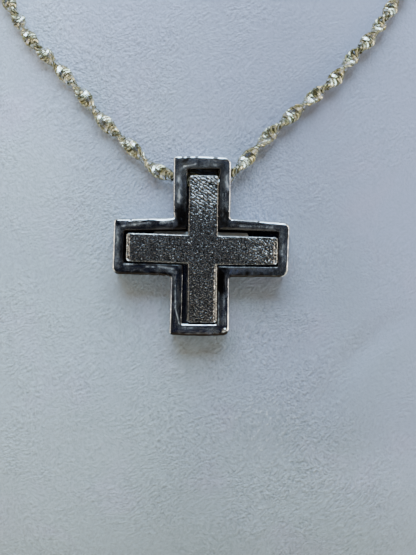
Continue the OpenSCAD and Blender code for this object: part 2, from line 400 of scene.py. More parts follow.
@dataclass(frozen=True)
class Leatherette(Finish):
    """Pale, finely grained covering of the bust, with painted light and shade over its front and painted
    glints.
    """

    name: ClassVar[str] = "white_leatherette"
    high: Colour = (0.61, 0.68, 0.92)
    low: Colour = (0.60, 0.69, 0.77)
    rosy: Colour = (0.70, 0.68, 0.90)
    # colour of the painted glints on pale grain crests
    painted_glint_colour: Colour = (0.95, 0.97, 1.0)
    # painted shade toward the right side, eased back at the far edge
    shaded_side: float = 0.34
    far_edge: float = 0.10
    # centre of the painted glints, low on the chest
    painted_glint_centre: Point = (9.0, -47.0, 36.0)
    roughness: float = 0.5
    ior: float = 1.45
    grain_depth: float = 0.34
    grain_lean: float = 50.0
    grain_draw: float = 0.6
    bend: float = 3.5
    wander: Grain = Grain(0.09, 1.0)
    streaks: Grain = Grain(2.6, 0.6)
    pebbles: Grain = Grain(3.3, 0.8)
    # noise of the crests that carry the painted glints
    crests: Grain = Grain(3.8, 0.0)
    looseness: Grain = Grain(0.13)
    blush: Grain = Grain(0.11, 2.0, 0.5)
    mottling: Grain = Grain(0.07, 3.0)

    def _grain(self, tree: NodeTree, bent: Signal) -> Signal:
        """Draws the grain: streaks along its lean, among pebbles.

        Args:
            tree: The material's tree.
            bent: Place in millimetres, bent by soft noise.

        Returns:
            Its ridges, from zero to one.
        """
        lean = math.radians(self.grain_lean)
        drawn = tree.joined(
            tree.along(bent, (math.cos(lean), 0.0, math.sin(lean))) * self.grain_draw,
            tree.along(bent, (-math.sin(lean), 0.0, math.cos(lean))),
            tree.along(bent, (0.0, 1.0, 0.0)),
        )
        return tree.noise(drawn, self.streaks) * 0.55 + tree.noise(bent, self.pebbles) * 0.45

    def _level(self, right: Signal, above: Signal, mottling: Signal, low_right: Signal) -> Signal:
        """Works out the painted light and shade over the bust's front.

        Args:
            right: Place to the right, in millimetres.
            above: Height above the base, in millimetres.
            mottling: Soft patches from zero to one.
            low_right: One at the front's lower right, and zero elsewhere.

        Returns:
            A factor for its colour, which paints shade toward the right, less at the far edge, and light at
            the upper left, lower right, top and bottom.
        """
        across = right + mottling * 12.0 - 6.0
        # painted shade: darker toward the right, a little lighter again at the far edge
        painted_shade = across.between(-32.0, 16.0) * self.shaded_side - across.between(14.0, 34.0) * self.far_edge
        # painted light at the upper left, top, bottom and lower right
        high_left = (-14.0 - right).between(0.0, 9.0) * above.between(58.0, 80.0)
        low, high = (44.0 - above).between(0.0, 14.0), above.between(82.0, 96.0)
        return 0.94 - painted_shade + low_right * 0.13 + high_left * 0.12 + high * 0.04 + low * 0.035

    def sockets(self, tree: NodeTree) -> dict[str, object]:
        """Draws the covering, with wandering streaks of grain, soft patches of tone, painted light and
        shade, and painted glints.

        Args:
            tree: The material's tree.

        Returns:
            The shader's inputs by name.
        """
        place = tree.millimetres()
        spot = tree.split(place)
        right, above = spot.out("X"), spot.out("Z")
        bent = tree.vector("MULTIPLY_ADD", tree.noise(place, self.wander, "Color"), (self.bend,) * 3, place)
        ridges = self._grain(tree, bent)
        calm = (right + above * 0.25).between(24.0, 38.0)
        low_right = (37.0 - above).between(0.0, 10.0) * right.between(-2.0, 12.0)
        uneven = 0.6 + tree.noise(place, self.looseness).between(0.38, 0.66) * 0.6
        strength = uneven * (1.0 - calm * 0.55) * (1.0 + low_right * 0.5)
        away = tree.vector("DISTANCE", place, self.painted_glint_centre, output="Value")
        # painted glints: pale grain crests that fade away from one point of the chest
        crests = tree.noise(bent, self.crests).between(0.58, 0.72) * ridges.between(0.48, 0.60)
        painted_glints = crests * (9.5 - away).between(0.0, 9.0)
        blush = tree.noise(place, self.blush).between(0.5, 0.75)
        mottling = tree.noise(place, self.mottling)
        rise = (above * 0.011 + right * 0.012 + mottling * 0.8 - 0.6).between(0.0, 1.0)
        tone = tree.mix(blush * 0.45 + rise * 0.3, tree.mix(rise, self.low, self.high), self.rosy)
        # the ridges shade the colour as grain tone and as painted relief shade, and the level adds the
        # painted light and shade
        lit = ((ridges - 0.5) * strength * 0.9 + 1.0) * self._level(right, above, mottling, low_right)
        shaded = tree.add("ShaderNodeVectorMath", {0: tone, "Scale": lit}, operation="SCALE").out()
        return {
            "Base Color": tree.mix(painted_glints * 0.45, shaded, self.painted_glint_colour),
            "Roughness": self.roughness - 0.1 * ridges,
            "Normal": tree.bump(ridges * strength, 1.0, self.grain_depth),
            "IOR": self.ior,
        }


@dataclass(frozen=True)
class PolishedSilver(Finish):
    """Polished metal, darkened and filmed over, with its edges worn bright, painted highlights and shade,
    and painted reflections in its pale film.
    """

    name: ClassVar[str] = "polished_silver"
    dark: Colour = (0.52, 0.53, 0.56)
    bright: Colour = (0.93, 0.92, 0.89)
    olive: Colour = (0.13, 0.12, 0.09)
    slate: Colour = (0.07, 0.085, 0.19)
    # tarnish colour, which also paints shade where the wear is negative
    tarnish: Colour = (0.036, 0.028, 0.024)
    # colour of the pale film: haze, painted reflections, and painted light toward the light
    bloom: Colour = (0.50, 0.50, 0.49)
    steep: Colour = (0.35, 0.34, 0.33)
    haze: float = 0.33
    polish: float = 0.07
    stroke: Point = (1.0, 0.45, 1.0)
    # way along which the film is painted paler, toward the light
    toward_light: Point = (0.6, 0.8, 0.0)
    patches: Grain = Grain(0.36, 3.0, 1.2)
    streaks: Grain = Grain(2.8, 3.0, 0.8)
    specks: Grain = Grain(5.0)
    grime: Grain = Grain(0.3)
    waves: Grain = Grain(1.6, 3.0)
    grit: Grain = Grain(6.0)

    def sockets(self, tree: NodeTree) -> dict[str, object]:
        """Draws the metal by the wear, bloom and local attributes; the wear carries painted highlights and
        shade.

        Args:
            tree: The material's tree.

        Returns:
            The shader's inputs by name.
        """
        place = tree.attribute("local", "Vector")
        wear = tree.attribute("wear")
        patches = tree.noise(place, self.patches).between(0.48, 0.66)
        streaks = tree.noise(tree.scaled(place, self.stroke), self.streaks).between(0.45, 0.66)
        specks = tree.noise(place, self.specks).between(0.56, 0.72)
        # negative wear: tarnish, and painted shade on edges that face down, inside the opening and at the
        # crossing's corners
        tarnish_and_painted_shade = (wear * -1.0).clamped()
        # positive wear: edges worn bright, and painted highlights where the glints lie
        worn = (wear + specks * 0.2).clamped()
        clouds = patches * (0.4 + streaks * 0.5) + streaks * 0.03
        film = (clouds + tarnish_and_painted_shade * 0.15 + specks * 0.18).clamped()
        grime = tree.mix(tree.noise(place, self.grime).between(0.4, 0.6), self.olive, self.slate)
        height = tree.noise(place, self.waves) + tree.noise(place, self.grit) * 0.14
        aged_and_painted_shade = tree.mix(tarnish_and_painted_shade, tree.mix(film, self.dark, grime), self.tarnish)
        # painted light: the film pales toward the light
        lifted = tree.along(place, self.toward_light).between(-2.0, 7.0) * 0.12
        pale = ((tree.attribute("bloom") + lifted) * (0.6 + streaks * 0.45)).clamped()
        return {
            "Base Color": tree.mix(worn, tree.mix(pale, aged_and_painted_shade, self.bloom), self.bright),
            "Specular Tint": rgba(self.steep),
            "Metallic": 1.0 - (film * self.haze + pale * 0.6).clamped() * (1.0 - worn),
            "Roughness": film * 0.15 + specks * 0.06 + pale * pale * 0.45 + self.polish,
            "Normal": tree.bump(height, 0.35, 0.02),
        }


@dataclass(frozen=True)
class StippledSilver(Finish):
    """Cast metal with a stippled face, dark in its hollows and worn on its crests."""

    name: ClassVar[str] = "stippled_silver"
    hollow: Colour = (0.022, 0.022, 0.021)
    crest: Colour = (0.49, 0.46, 0.45)
    # worn metal, which also paints the highlights where the inner cross's glints lie
    worn: Colour = (0.94, 0.88, 0.81)
    grain: Grain = Grain(5.6, 1.0, 0.3)
    sparks: Grain = Grain(4.4, 0.5, 0.3)

    def sockets(self, tree: NodeTree) -> dict[str, object]:
        """Draws the metal by the relief, wear and local attributes.

        Args:
            tree: The material's tree.

        Returns:
            The shader's inputs by name.
        """
        place = tree.attribute("local", "Vector")
        grain = tree.noise(place, self.grain)
        raised = (tree.attribute("relief") + grain.between(0.35, 0.65) * 0.5 - 0.25).clamped()
        sparks = tree.noise(place, self.sparks).between(0.62, 0.70) * raised
        worn = (tree.attribute("wear") + sparks * 0.8).clamped()
        return {
            "Base Color": tree.mix(worn, tree.mix(raised, self.hollow, self.crest), self.worn),
            "Metallic": 1.0,
            "Roughness": 0.3 - 0.1 * raised,
            "Normal": tree.bump(grain, 1.0, 0.05),
        }


@dataclass(frozen=True)
class ChainSilver(Finish):
    """Bright cut faces and olive, tarnished sides of the links."""

    name: ClassVar[str] = "chain_silver"
    cut: Colour = (0.94, 0.95, 0.98)
    tarnish: Colour = (0.29, 0.26, 0.12)
    wire: Colour = (0.73, 0.70, 0.56)
    metallic: float = 0.88
    patches: Grain = Grain(1.8)

    def sockets(self, tree: NodeTree) -> dict[str, object]:
        """Draws the metal by the cut and shade attributes.

        Args:
            tree: The material's tree.

        Returns:
            The shader's inputs by name.
        """
        cut = tree.attribute("cut")
        patches = tree.noise(tree.millimetres(), self.patches).between(0.38, 0.62)
        worn = (patches * 0.5 + tree.attribute("shade") * 0.4).clamped()
        return {
            "Base Color": tree.mix(cut, tree.mix(worn, self.tarnish, self.wire), self.cut),
            "Metallic": self.metallic,
            "Roughness": 0.24 - 0.15 * cut,
        }


@dataclass(frozen=True)
class ClaspSilver(Finish):
    """Plain silver of the spring ring, with light wear."""

    name: ClassVar[str] = "clasp_silver"
    dull: Colour = (0.62, 0.61, 0.56)
    bright: Colour = (0.88, 0.87, 0.84)
    patches: Grain = Grain(1.2, 3.0)
    grit: Grain = Grain(6.0)

    def sockets(self, tree: NodeTree) -> dict[str, object]:
        """Draws the metal of the clasp.

        Args:
            tree: The material's tree.

        Returns:
            The shader's inputs by name.
        """
        place = tree.millimetres()
        worn = tree.noise(place, self.patches).between(0.35, 0.65)
        return {
            "Base Color": tree.mix(worn, self.dull, self.bright),
            "Metallic": 1.0,
            "Roughness": 0.28 - 0.14 * worn,
            "Normal": tree.bump(tree.noise(place, self.grit), 0.3, 0.01),
        }


@dataclass(frozen=True)
class PaleFloor(Finish):
    """Floor of the studio, which fades into the backdrop far from the bust."""

    name: ClassVar[str] = "pale_floor"
    dim: Colour = (0.66, 0.59, 0.45)
    light: Colour = (0.72, 0.65, 0.51)
    fade: tuple[float, float] = (300.0, 900.0)
    roughness: float = 0.7
    mottling: Grain = Grain(0.02, 3.0)

    def sockets(self, tree: NodeTree) -> dict[str, object]:
        """Draws the floor's covering.

        Args:
            tree: The material's tree.

        Returns:
            The shader's inputs by name.
        """
        place = tree.millimetres()
        away = tree.vector("LENGTH", place, output="Value")
        return {
            "Base Color": tree.mix(tree.noise(place, self.mottling), self.dim, self.light),
            "Roughness": self.roughness,
            "Alpha": 1.0 - away.between(*self.fade),
        }


@dataclass(frozen=True)
class Section:
    """Level section of the bust, a superellipse round its own middle."""

    height: float
    half_width: float
    front: float
    back: float
    squareness: float


@dataclass(frozen=True)
class Crease:
    """Shallow fold of the covering on the bust's front."""

    across: float
    height: float
    length: float
    width: float
    lean: float
    depth: float


# columns: height, half width, front, back, squareness
SECTIONS = tuple(Section(*row) for row in (
    (0, 60, 41, 37, 2.5), (8, 64, 44.5, 40, 2.5), (22, 70, 48, 42, 2.45),
    (38, 77, 48.5, 43, 2.4), (53, 83, 46.1, 43.5, 2.4), (68, 88, 43.7, 44, 2.35),
    (83, 91, 41.3, 44.5, 2.3), (98, 91, 38.9, 45, 2.25), (112, 86, 36.2, 45.5, 2.2),
    (124, 76.5, 33.2, 46, 2.15), (136, 65.5, 30.4, 46.5, 2.1), (150, 57, 28, 47, 2.05),
    (168, 53, 26.5, 47, 2), (186, 52.5, 26.5, 48, 2), (200, 53.5, 27.5, 49, 2),
))

# columns: across, height, length, width, lean, depth
CREASES = tuple(Crease(*row) for row in (
    (20.5, 45.0, 15.0, 2.2, 48.0, 0.35), (25.0, 49.5, 12.0, 1.8, 40.0, 0.25),
    (4.0, 92.0, 16.0, 3.5, 84.0, 0.12), (-1.5, 94.0, 14.0, 3.0, 92.0, 0.10),
    (-17.0, 30.0, 20.0, 5.0, -20.0, 0.12), (13.0, 30.0, 22.0, 5.5, 25.0, 0.14),
))

# columns: how far the lid over the neck is drawn in, and how far it lies down, with its seam
LID = ((5.0, 0.0), (6.0, 0.15), (6.6, 0.5), (7.2, 0.15), (8.2, 0.0))


@dataclass
class Bust:
    """Display bust covered in leatherette."""

    sections: tuple[Section, ...] = SECTIONS
    creases: tuple[Crease, ...] = CREASES
    edge: float = 2.5
    base_flare: float = 0.6
    fine_step: float = 0.8
    coarse_step: float = 2.0
    mean_reach: float = 0.72
    front_half: float = 34.0
    front_low: float = 20.0
    front_high: float = 108.0
    slack: float = 0.05
    loose: tuple[Ripple, ...] = (Ripple(1.0, 17.0, 3.1), Ripple(0.5, 7.5, 8.2))
    finish: Leatherette = Leatherette()
    table: np.ndarray = field(init=False)

    def __post_init__(self) -> None:
        """Turns the sections into a table of numbers."""
        self.table = np.array([astuple(section) for section in self.sections], float)

    def _measures(self, height: np.ndarray, inset: np.ndarray) -> tuple[np.ndarray, ...]:
        """Returns half width, middle, half depth and squareness at each height."""
        half_w, front, back, square = (smooth(self.table, height, column) for column in (1, 2, 3, 4))
        return half_w - inset, (back - front) / 2, (front + back) / 2 - inset, square

    def skin(self, turn: np.ndarray, height: np.ndarray) -> np.ndarray:
        """Places points on the skin.

        Args:
            turn: Degrees round from the front, positive to the right.
            height: Heights above the base.

        Returns:
            The points, in rows of three.
        """
        half_w, middle, half_d, square = self._measures(height, np.zeros_like(height))
        sides = [np.sin(np.radians(turn)), np.cos(np.radians(turn))]
        across, ahead = (np.sign(v) * np.abs(v) ** (2 / square) for v in sides)
        return np.stack([half_w * across, middle - half_d * ahead, height], axis=-1)

    def normal(self, turn: np.ndarray, height: np.ndarray) -> np.ndarray:
        """Works out which way the skin faces.

        Args:
            turn: Degrees round from the front, positive to the right.
            height: Heights above the base.

        Returns:
            Outward normals of length one.
        """
        step = 0.05
        round_it = self.skin(turn + step, height) - self.skin(turn - step, height)
        up_it = self.skin(turn, height + step) - self.skin(turn, height - step)
        return unit(np.cross(round_it, up_it))

    def lifted(self, turn: np.ndarray, height: np.ndarray, lift: np.ndarray) -> np.ndarray:
        """Returns points above the skin."""
        return self.skin(turn, height) + lift[..., None] * self.normal(turn, height)

    def _ring(self, bearings: np.ndarray, height: float, inset: float) -> np.ndarray:
        """Makes one level ring of the skin, with its points spread by bearing.

        Args:
            bearings: Bearings of its points, in radians from the front.
            height: Height above the base.
            inset: How far it is drawn in.

        Returns:
            Its points.
        """
        heights = np.full_like(bearings, height)
        half_w, middle, half_d, square = self._measures(heights, np.full_like(bearings, inset))
        across, ahead = np.sin(bearings), np.cos(bearings)
        reach = (np.abs(across) ** square + np.abs(ahead) ** square) ** (-1 / square)
        return np.stack([half_w * reach * across, middle - half_d * reach * ahead, heights], axis=-1)

    def _bearings(self) -> np.ndarray:
        """Spreads a ring's points, close together in front.

        Returns:
            Their bearings, in radians from the front.
        """
        widest = self.table[:, 1].max()
        front = math.asin(self.front_half / widest)
        fine = int(2 * self.front_half / self.fine_step)
        coarse = int((2 * math.pi - 2 * front) * widest * self.mean_reach / self.coarse_step)
        return np.concatenate([
            np.linspace(-front, front, fine, endpoint=False),
            np.linspace(front, 2 * math.pi - front, coarse, endpoint=False),
        ])

    def _levels(self) -> np.ndarray:
        """Spreads the rings between the two edges, close together on the chest.

        Returns:
            Their heights.
        """
        top = self.table[-1, 0] - self.edge
        spans = (
            (self.edge, self.front_low, self.coarse_step),
            (self.front_low, self.front_high, self.fine_step),
            (self.front_high, top, self.coarse_step),
        )
        parts = [np.linspace(a, b, int((b - a) / step), endpoint=False) for a, b, step in spans]
        return np.concatenate([*parts, [top]])

    def _creased(self, points: np.ndarray) -> np.ndarray:
        """Works out how far folds and the loose covering draw the skin in.

        Args:
            points: Points of the skin.

        Returns:
            One depth for each point.
        """
        drawn = np.zeros(len(points))
        front = points[:, 1] < 0
        for crease in self.creases:
            lean = math.radians(crease.lean)
            right, above = points[:, 0] - crease.across, points[:, 2] - crease.height
            along = right * math.cos(lean) + above * math.sin(lean)
            aside = above * math.cos(lean) - right * math.sin(lean)
            bow = aside + along ** 2 / (3.0 * crease.length)
            fall = np.exp(-(along / (0.5 * crease.length)) ** 4) * np.exp(-(bow / crease.width) ** 2)
            drawn += crease.depth * fall * front
        return drawn + self.slack * (1.0 + np.clip(ripples(points, self.loose), -1.0, 1.0))

    def build(self) -> bpy.types.Object:
        """Builds the covered bust.

        Returns:
            The object, at the origin of the scene.
        """
        bearings = self._bearings()
        top = self.table[-1, 0]
        foot = [self._ring(bearings, rise, self.base_flare * inset)
                for rise, inset in rounding(self.edge, 0, 25, 50, 75)]
        body = [self._ring(bearings, height, 0.0) for height in self._levels()]
        crown = [self._ring(bearings, top - drop, inset)
                 for inset, drop in rounding(self.edge, 20, 40, 60, 80, 90)]
        lid = [self._ring(bearings, top - drop, inset) for inset, drop in LID]
        skin = np.vstack(body)
        grid = skin.reshape(len(body), len(bearings), 3)
        round_it = np.roll(grid, -1, axis=1) - np.roll(grid, 1, axis=1)
        up_it = np.gradient(grid, axis=0)
        outward = unit(np.cross(round_it, up_it)).reshape(-1, 3)
        settled = skin - self._creased(skin)[:, None] * outward
        piece = closed_loft("covered_bust", [*foot, *settled.reshape(grid.shape), *crown, *lid])
        piece.data.materials.append(self.finish.material())
        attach(piece, ROOT)
        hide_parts("neck_bust")
        log.info("covered bust: %d faces", len(piece.data.polygons))
        return piece


@dataclass(frozen=True)
class Corner:
    """Hand finish of one corner: how far it lies off the square one, and its radius."""

    right: float
    above: float
    radius: float


@dataclass(frozen=True)
class CrossOutline:
    """Outline of a cross, drawn from its crossing, with its corners finished by hand.

    Its corners run left-handed from the lower one of the right arm's end.
    """

    half_width: float
    left: float
    right: float
    top: float
    bottom: float
    finish: tuple[Corner, ...]
    spacing: float = 0.16
    corner_points: int = 7
    least_radius: float = 0.06

    def _square(self) -> np.ndarray:
        """Returns the twelve square corners."""
        h, left, right, top, bottom = self.half_width, -self.left, self.right, self.top, -self.bottom
        return np.array([
            (right, -h), (right, h), (h, h), (h, top), (-h, top), (-h, h),
            (left, h), (left, -h), (-h, -h), (-h, bottom), (h, bottom), (h, -h),
        ])

    def counts(self) -> list[int]:
        """Returns how many points each side has, which doesn't change with the inset."""
        square = self._square()
        lengths = np.linalg.norm(np.roll(square, -1, axis=0) - square, axis=1)
        return [int(length / self.spacing) for length in lengths]

    def points(self, inset: float, counts: list[int] | None = None) -> np.ndarray:
        """Draws the outline.

        Args:
            inset: How far it is drawn in.
            counts: Points on each side, or None for the outline's own.

        Returns:
            Its points, running left-handed.
        """
        filed = self._square() + np.array([(c.right, c.above) for c in self.finish])
        before, after = np.roll(filed, 1, axis=0), np.roll(filed, -1, axis=0)
        normals = [unit(b - a)[:, ::-1] * (-1, 1) for a, b in ((before, filed), (filed, after))]
        meet = 1 + np.sum(normals[0] * normals[1], axis=1, keepdims=True)
        drawn = filed + inset * (normals[0] + normals[1]) / meet
        arcs = []
        for i, corner in enumerate(self.finish):
            signed = inset if i % 3 == 2 else -inset
            radius = max(corner.radius + signed, self.least_radius)
            back, ahead = unit(drawn[i - 1] - drawn[i]), unit(drawn[(i + 1) % 12] - drawn[i])
            angles = np.linspace(0, math.pi / 2, self.corner_points)[:, None]
            arcs.append(drawn[i] + radius * (back + ahead)
                        - radius * (ahead * np.cos(angles) + back * np.sin(angles)))
        parts = []
        for i, count in enumerate(counts or self.counts()):
            start, end = arcs[i][-1], arcs[(i + 1) % 12][0]
            shares = np.linspace(0, 1, count, endpoint=False)[1:, None]
            parts += [arcs[i], start + shares * (end - start)]
        return np.vstack(parts)


def corners(*rows: tuple[float, float, float]) -> tuple[Corner, ...]:
    """Returns the corners of a table of rows."""
    return tuple(Corner(*row) for row in rows)


OUTER_FINISH = corners(
    (0, 0.15, 0.95), (0.15, -0.2, 1.0), (0.05, 0.1, 0.3),
    (0.05, 0.0, 0.95), (0.0, 0.05, 0.35), (0.1, 0.15, 0.25),
    (0.0, -0.2, 0.45), (-0.1, 0.1, 0.8), (-0.05, 0.05, 0.55),
    (-0.1, -0.1, 0.35), (0.2, 0.0, 0.75), (0.1, 0.0, 0.4),
)
OPENING_FINISH = corners(
    (0, -0.05, 0.2), (0.05, 0.05, 0.2), (0.05, 0.2, 0.2),
    (0, 0.05, 0.2), (0.35, -0.05, 0.2), (0.4, 0.12, 0.2),
    (0, -0.25, 0.2), (0, 0.1, 0.2), (0, 0, 0.2),
    (0, 0, 0.2), (0.1, 0.05, 0.4), (0, -0.1, 0.2),
)
INNER_FINISH = corners(
    (0, 0.1, 0.35), (0.05, -0.12, 0.4), (0, -0.08, 0.15),
    (-0.05, 0, 0.4), (-0.05, -0.05, 0.35), (-0.05, -0.05, 0.15),
    (0, 0.06, 0.4), (0, 0.15, 0.4), (0, 0, 0.15),
    (0.1, -0.05, 0.35), (0.1, 0, 0.4), (0, -0.1, 0.15),
)


@dataclass(frozen=True)
class Mark:
    """Dent, or bead where its depth is negative, that the hand finish left."""

    right: float
    above: float
    size: float
    depth: float


@dataclass(frozen=True)
class Stretch:
    """Straight stretch from one point to another, with an amount that fades out at its width: wear, painted
    highlights, painted shade and painted reflections.
    """

    start: tuple[float, float]
    end: tuple[float, float]
    width: float
    amount: float

    def at(self, flat: np.ndarray) -> np.ndarray:
        """Returns the amount at each point, which fades to nothing at the stretch's width."""
        return self.amount * self._near(flat) ** 2

    def facet(self, flat: np.ndarray, slope: float) -> np.ndarray:
        """Returns the depth of a flat facet that falls toward the stretch."""
        return slope * self.width * self._near(flat)

    def _near(self, flat: np.ndarray) -> np.ndarray:
        """Works out how near points lie to the stretch.

        Args:
            flat: Points in the rim's plane.

        Returns:
            A share for each point, from zero at the stretch's width to one on its line.
        """
        run = np.subtract(self.end, self.start)
        share = np.clip((flat - self.start) @ run / (run @ run), 0, 1)[:, None]
        away = np.linalg.norm(flat - (self.start + share * run), axis=1)
        return np.clip(1 - away / self.width, 0, 1)


def stretches(*rows: tuple[float, ...]) -> tuple[Stretch, ...]:
    """Returns stretches from rows of start right and above, end right and above, width, and amount."""
    return tuple(Stretch(row[0:2], row[2:4], *row[4:]) for row in rows)


# columns: right, above, size, depth
MARKS = tuple(Mark(*row) for row in (
    (-9.7, 3.75, 0.30, 0.10), (-3.9, 4.0, 0.40, -0.06), (2.1, 12.2, 0.45, 0.05),
    (-3.7, 5.9, 0.35, 0.04), (-3.5, 5.2, 0.30, 0.04), (2.7, 10.8, 0.90, -0.04),
    (-3.1, 9.5, 0.90, 0.04), (-7.0, 3.0, 1.40, 0.04), (7.0, 3.0, 1.80, 0.03),
    (11.4, -2.6, 0.90, -0.04), (3.0, -6.0, 1.20, 0.04), (-3.0, -9.0, 1.20, -0.04),
    (0.5, -11.3, 1.20, -0.03), (3.6, -11.3, 0.26, -0.20), (11.5, -3.70, 0.24, -0.18),
))

# worn down, by a depth in millimetres
WEARS = stretches(
    (-11.6, 3.88, -5.0, 4.17, 0.42, 0.11), (-5.9, 4.14, -3.9, 4.27, 0.95, 0.21),
    (-8.4, 4.02, -6.6, 4.10, 0.42, 0.06), (8.1, 4.02, 11.5, 3.72, 0.48, 0.12),
    (11.4, -4.0, 12.2, -3.2, 0.50, 0.16), (-12.2, -3.3, -11.5, -4.1, 0.45, 0.12),
    (-2.3, -10.52, 2.4, -10.48, 0.28, 0.09),
)

# rubbed bright where highlights fall, which paints the highlights, and painted shade where the amount is
# negative: the crossing's corners, rims that face down, and gaps in the highlights
GLINTS = stretches(
    (-11.3, 3.70, -3.9, 4.0, 0.35, 1.1), (-5.6, 3.8, -3.6, 3.7, 0.60, 1.0),
    (-3.1, 5.0, -2.8, 3.2, 1.80, -1.3), (3.2, 4.8, 3.4, 3.2, 1.60, -1.3),
    (3.1, -3.2, 3.0, -5.8, 1.20, -1.3), (-11.4, 0.5, -11.3, -2.4, 0.90, -0.5),
    (-3.4, -11.85, 3.2, -11.85, 0.40, -0.8), (4.2, -3.5, 11.4, -3.2, 0.80, -0.8),
    (-11.5, -3.4, -4.6, -3.6, 0.70, -0.7), (-3.7, -4.6, -3.7, -11.0, 0.50, -0.6),
    (-12.05, 3.3, -12.05, -3.3, 0.25, 1.0), (4.1, -4.6, 4.13, -8.6, 0.50, -1.0),
    (12.1, 2.8, 12.15, -2.6, 0.45, -0.8), (4.05, 11.0, 4.1, 5.0, 0.35, -0.6),
    (4.5, 3.5, 8.5, 3.4, 0.35, -0.8), (4.4, 3.86, 8.0, 3.74, 0.14, -6.0),
    (-9.72, 3.90, -9.62, 3.5, 0.20, -6.0), (-2.75, 12.36, -2.65, 12.36, 0.26, -6.0),
    (-2.00, 12.36, -1.80, 12.36, 0.30, -6.0), (-0.85, 12.36, -0.65, 12.36, 0.26, -6.0),
    (1.75, 12.34, 1.90, 12.34, 0.34, -7.0), (3.0, 12.22, 3.1, 12.18, 0.24, -6.0),
    (3.0, -11.75, 3.85, -11.45, 0.45, -1.5), (-3.7, 11.6, -1.8, 12.05, 0.45, -0.9),
    (8.4, 3.85, 11.6, 3.5, 0.28, 0.8), (11.5, -3.9, 12.1, -3.1, 0.55, 1.5),
    (3.4, -11.35, 3.75, -11.1, 0.36, 5.0), (11.35, -3.85, 11.75, -3.65, 0.28, 5.0),
    (4.0, -9.2, 4.05, -11.0, 0.25, 1.0), (-4.0, -9.5, -4.0, -11.9, 0.22, 1.2),
    (-12.1, -3.2, -11.6, -3.9, 0.45, 1.2), (-2.3, 9.7, -2.3, 11.2, 0.28, 1.2),
    (-2.45, -3.9, -2.4, -10.3, 0.22, 0.9), (-2.5, -10.6, 2.5, -10.52, 0.30, 2.6),
    (-10.4, -2.5, -8.6, -2.5, 0.22, 0.7), (3.0, -2.5, 10.5, -2.42, 0.20, 0.4),
)

# pale film drawn along light lines and patches: painted reflections and highlights, scratches among them
FILM_AND_PAINTED_REFLECTIONS = stretches(
    (-3.42, -4.0, -3.30, -8.3, 0.14, 1.1), (-3.30, -8.3, -2.7, -10.6, 0.14, 1.1),
    (-3.4, 10.5, -2.5, 11.15, 0.20, 0.8), (-2.5, 11.15, -0.8, 11.5, 0.20, 0.8),
    (-1.8, 11.2, 2.2, 11.4, 0.45, 0.36), (-3.2, 10.2, -3.1, 6.4, 0.65, 0.80),
    (-11.4, 2.2, -11.4, -2.6, 0.80, 0.55), (3.35, -6.5, 3.45, -10.0, 0.60, 0.25),
    (3.3, 10.2, 3.6, 8.2, 0.60, 0.55), (2.9, 7.5, 3.0, 4.5, 0.30, 0.35),
    (-11.5, 2.7, -7.1, 3.3, 0.30, 0.80), (-11.2, 3.6, -8.2, 3.5, 0.22, 0.60),
    (-5.5, 3.4, -3.9, 3.6, 0.45, 0.60), (-7.4, -2.7, -6.4, -2.8, 0.25, 1.2),
    (-5.7, -2.7, -3.6, -3.0, 0.40, 0.7), (-4.3, -3.3, -3.3, -3.5, 0.35, 0.4),
    (5.4, 3.1, 9.8, 3.0, 0.40, 0.32), (11.1, 2.6, 11.4, -1.5, 0.50, 0.40),
    (-10.5, -2.48, -9.3, -2.48, 0.18, 1.2), (2.8, -2.48, 10.5, -2.42, 0.20, 1.4),
    (2.6, -6.0, 2.7, -10.6, 0.20, 0.60), (-2.2, -11.0, 1.8, -11.1, 0.35, 0.40),
)

# rubbed bright on the inner cross, with facets cut where highlights fall; the brighter colour paints the
# highlights
INNER_GLINTS = stretches(
    (1.87, -2.3, 1.87, -9.8, 0.26, 4.0), (-10.4, -1.9, -10.4, 1.8, 0.36, 1.7),
    (10.1, -1.9, 10.1, 1.0, 0.40, 1.3), (-10.2, 1.95, -2.2, 1.95, 0.08, 1.0),
    (2.2, 1.95, 10.0, 1.95, 0.08, 1.0), (-1.8, 10.05, 1.8, 10.05, 0.10, 0.4),
)


def facing_down(flat: np.ndarray, outward: int) -> np.ndarray:
    """Works out where an outline's edge faces down.

    Args:
        flat: Points of a closed outline, running left-handed.
        outward: 1 for an edge that faces away from its outline's middle, -1 for one that faces it.

    Returns:
        A share from zero to one for each point.
    """
    along = unit(np.roll(flat, -1, axis=0) - np.roll(flat, 1, axis=0))
    return ease((outward * along[:, 0] - 0.2) / 0.6)


@dataclass(frozen=True)
class WearAndPaintedLight:
    """Wear of a ring of the frame where it faces up, down and aside, with painted light and shade: 1 is
    bright and -1 is dark, and sides that face down are painted dark.
    """

    up: float
    down: float
    aside: float

    def over(self, flat: np.ndarray, outward: int) -> np.ndarray:
        """Returns the wear and painted light and shade at each point of a ring, with outward as for
        facing_down.
        """
        lifted, lowered = facing_down(flat, -outward), facing_down(flat, outward)
        return self.aside + (self.up - self.aside) * lifted + (self.down - self.aside) * lowered


@dataclass(frozen=True)
class Seat:
    """Place of the pendant on the bust's chest."""

    bust: Bust
    height: float = 62.0
    turn: float = 1.2
    gap: float = 0.12
    depth: float = 4.0

    def normal(self) -> Vector:
        """Returns the chest's normal behind the pendant."""
        return Vector(self.bust.normal(np.array(0.0), np.array(self.height)))

    def middle(self) -> Vector:
        """Returns the crossing in the rim's plane."""
        lift = np.array(self.gap + self.depth)
        return Vector(self.bust.lifted(np.array(0.0), np.array(self.height), lift))

    def matrix(self) -> Matrix:
        """Returns what takes the rim's plane to the chest, in metres."""
        lean = Matrix.Rotation(math.acos(self.normal().z), 4, "X")
        turned = Matrix.Rotation(-math.radians(self.turn), 4, "Z")
        return Matrix.Translation(self.middle() * MM) @ lean @ turned


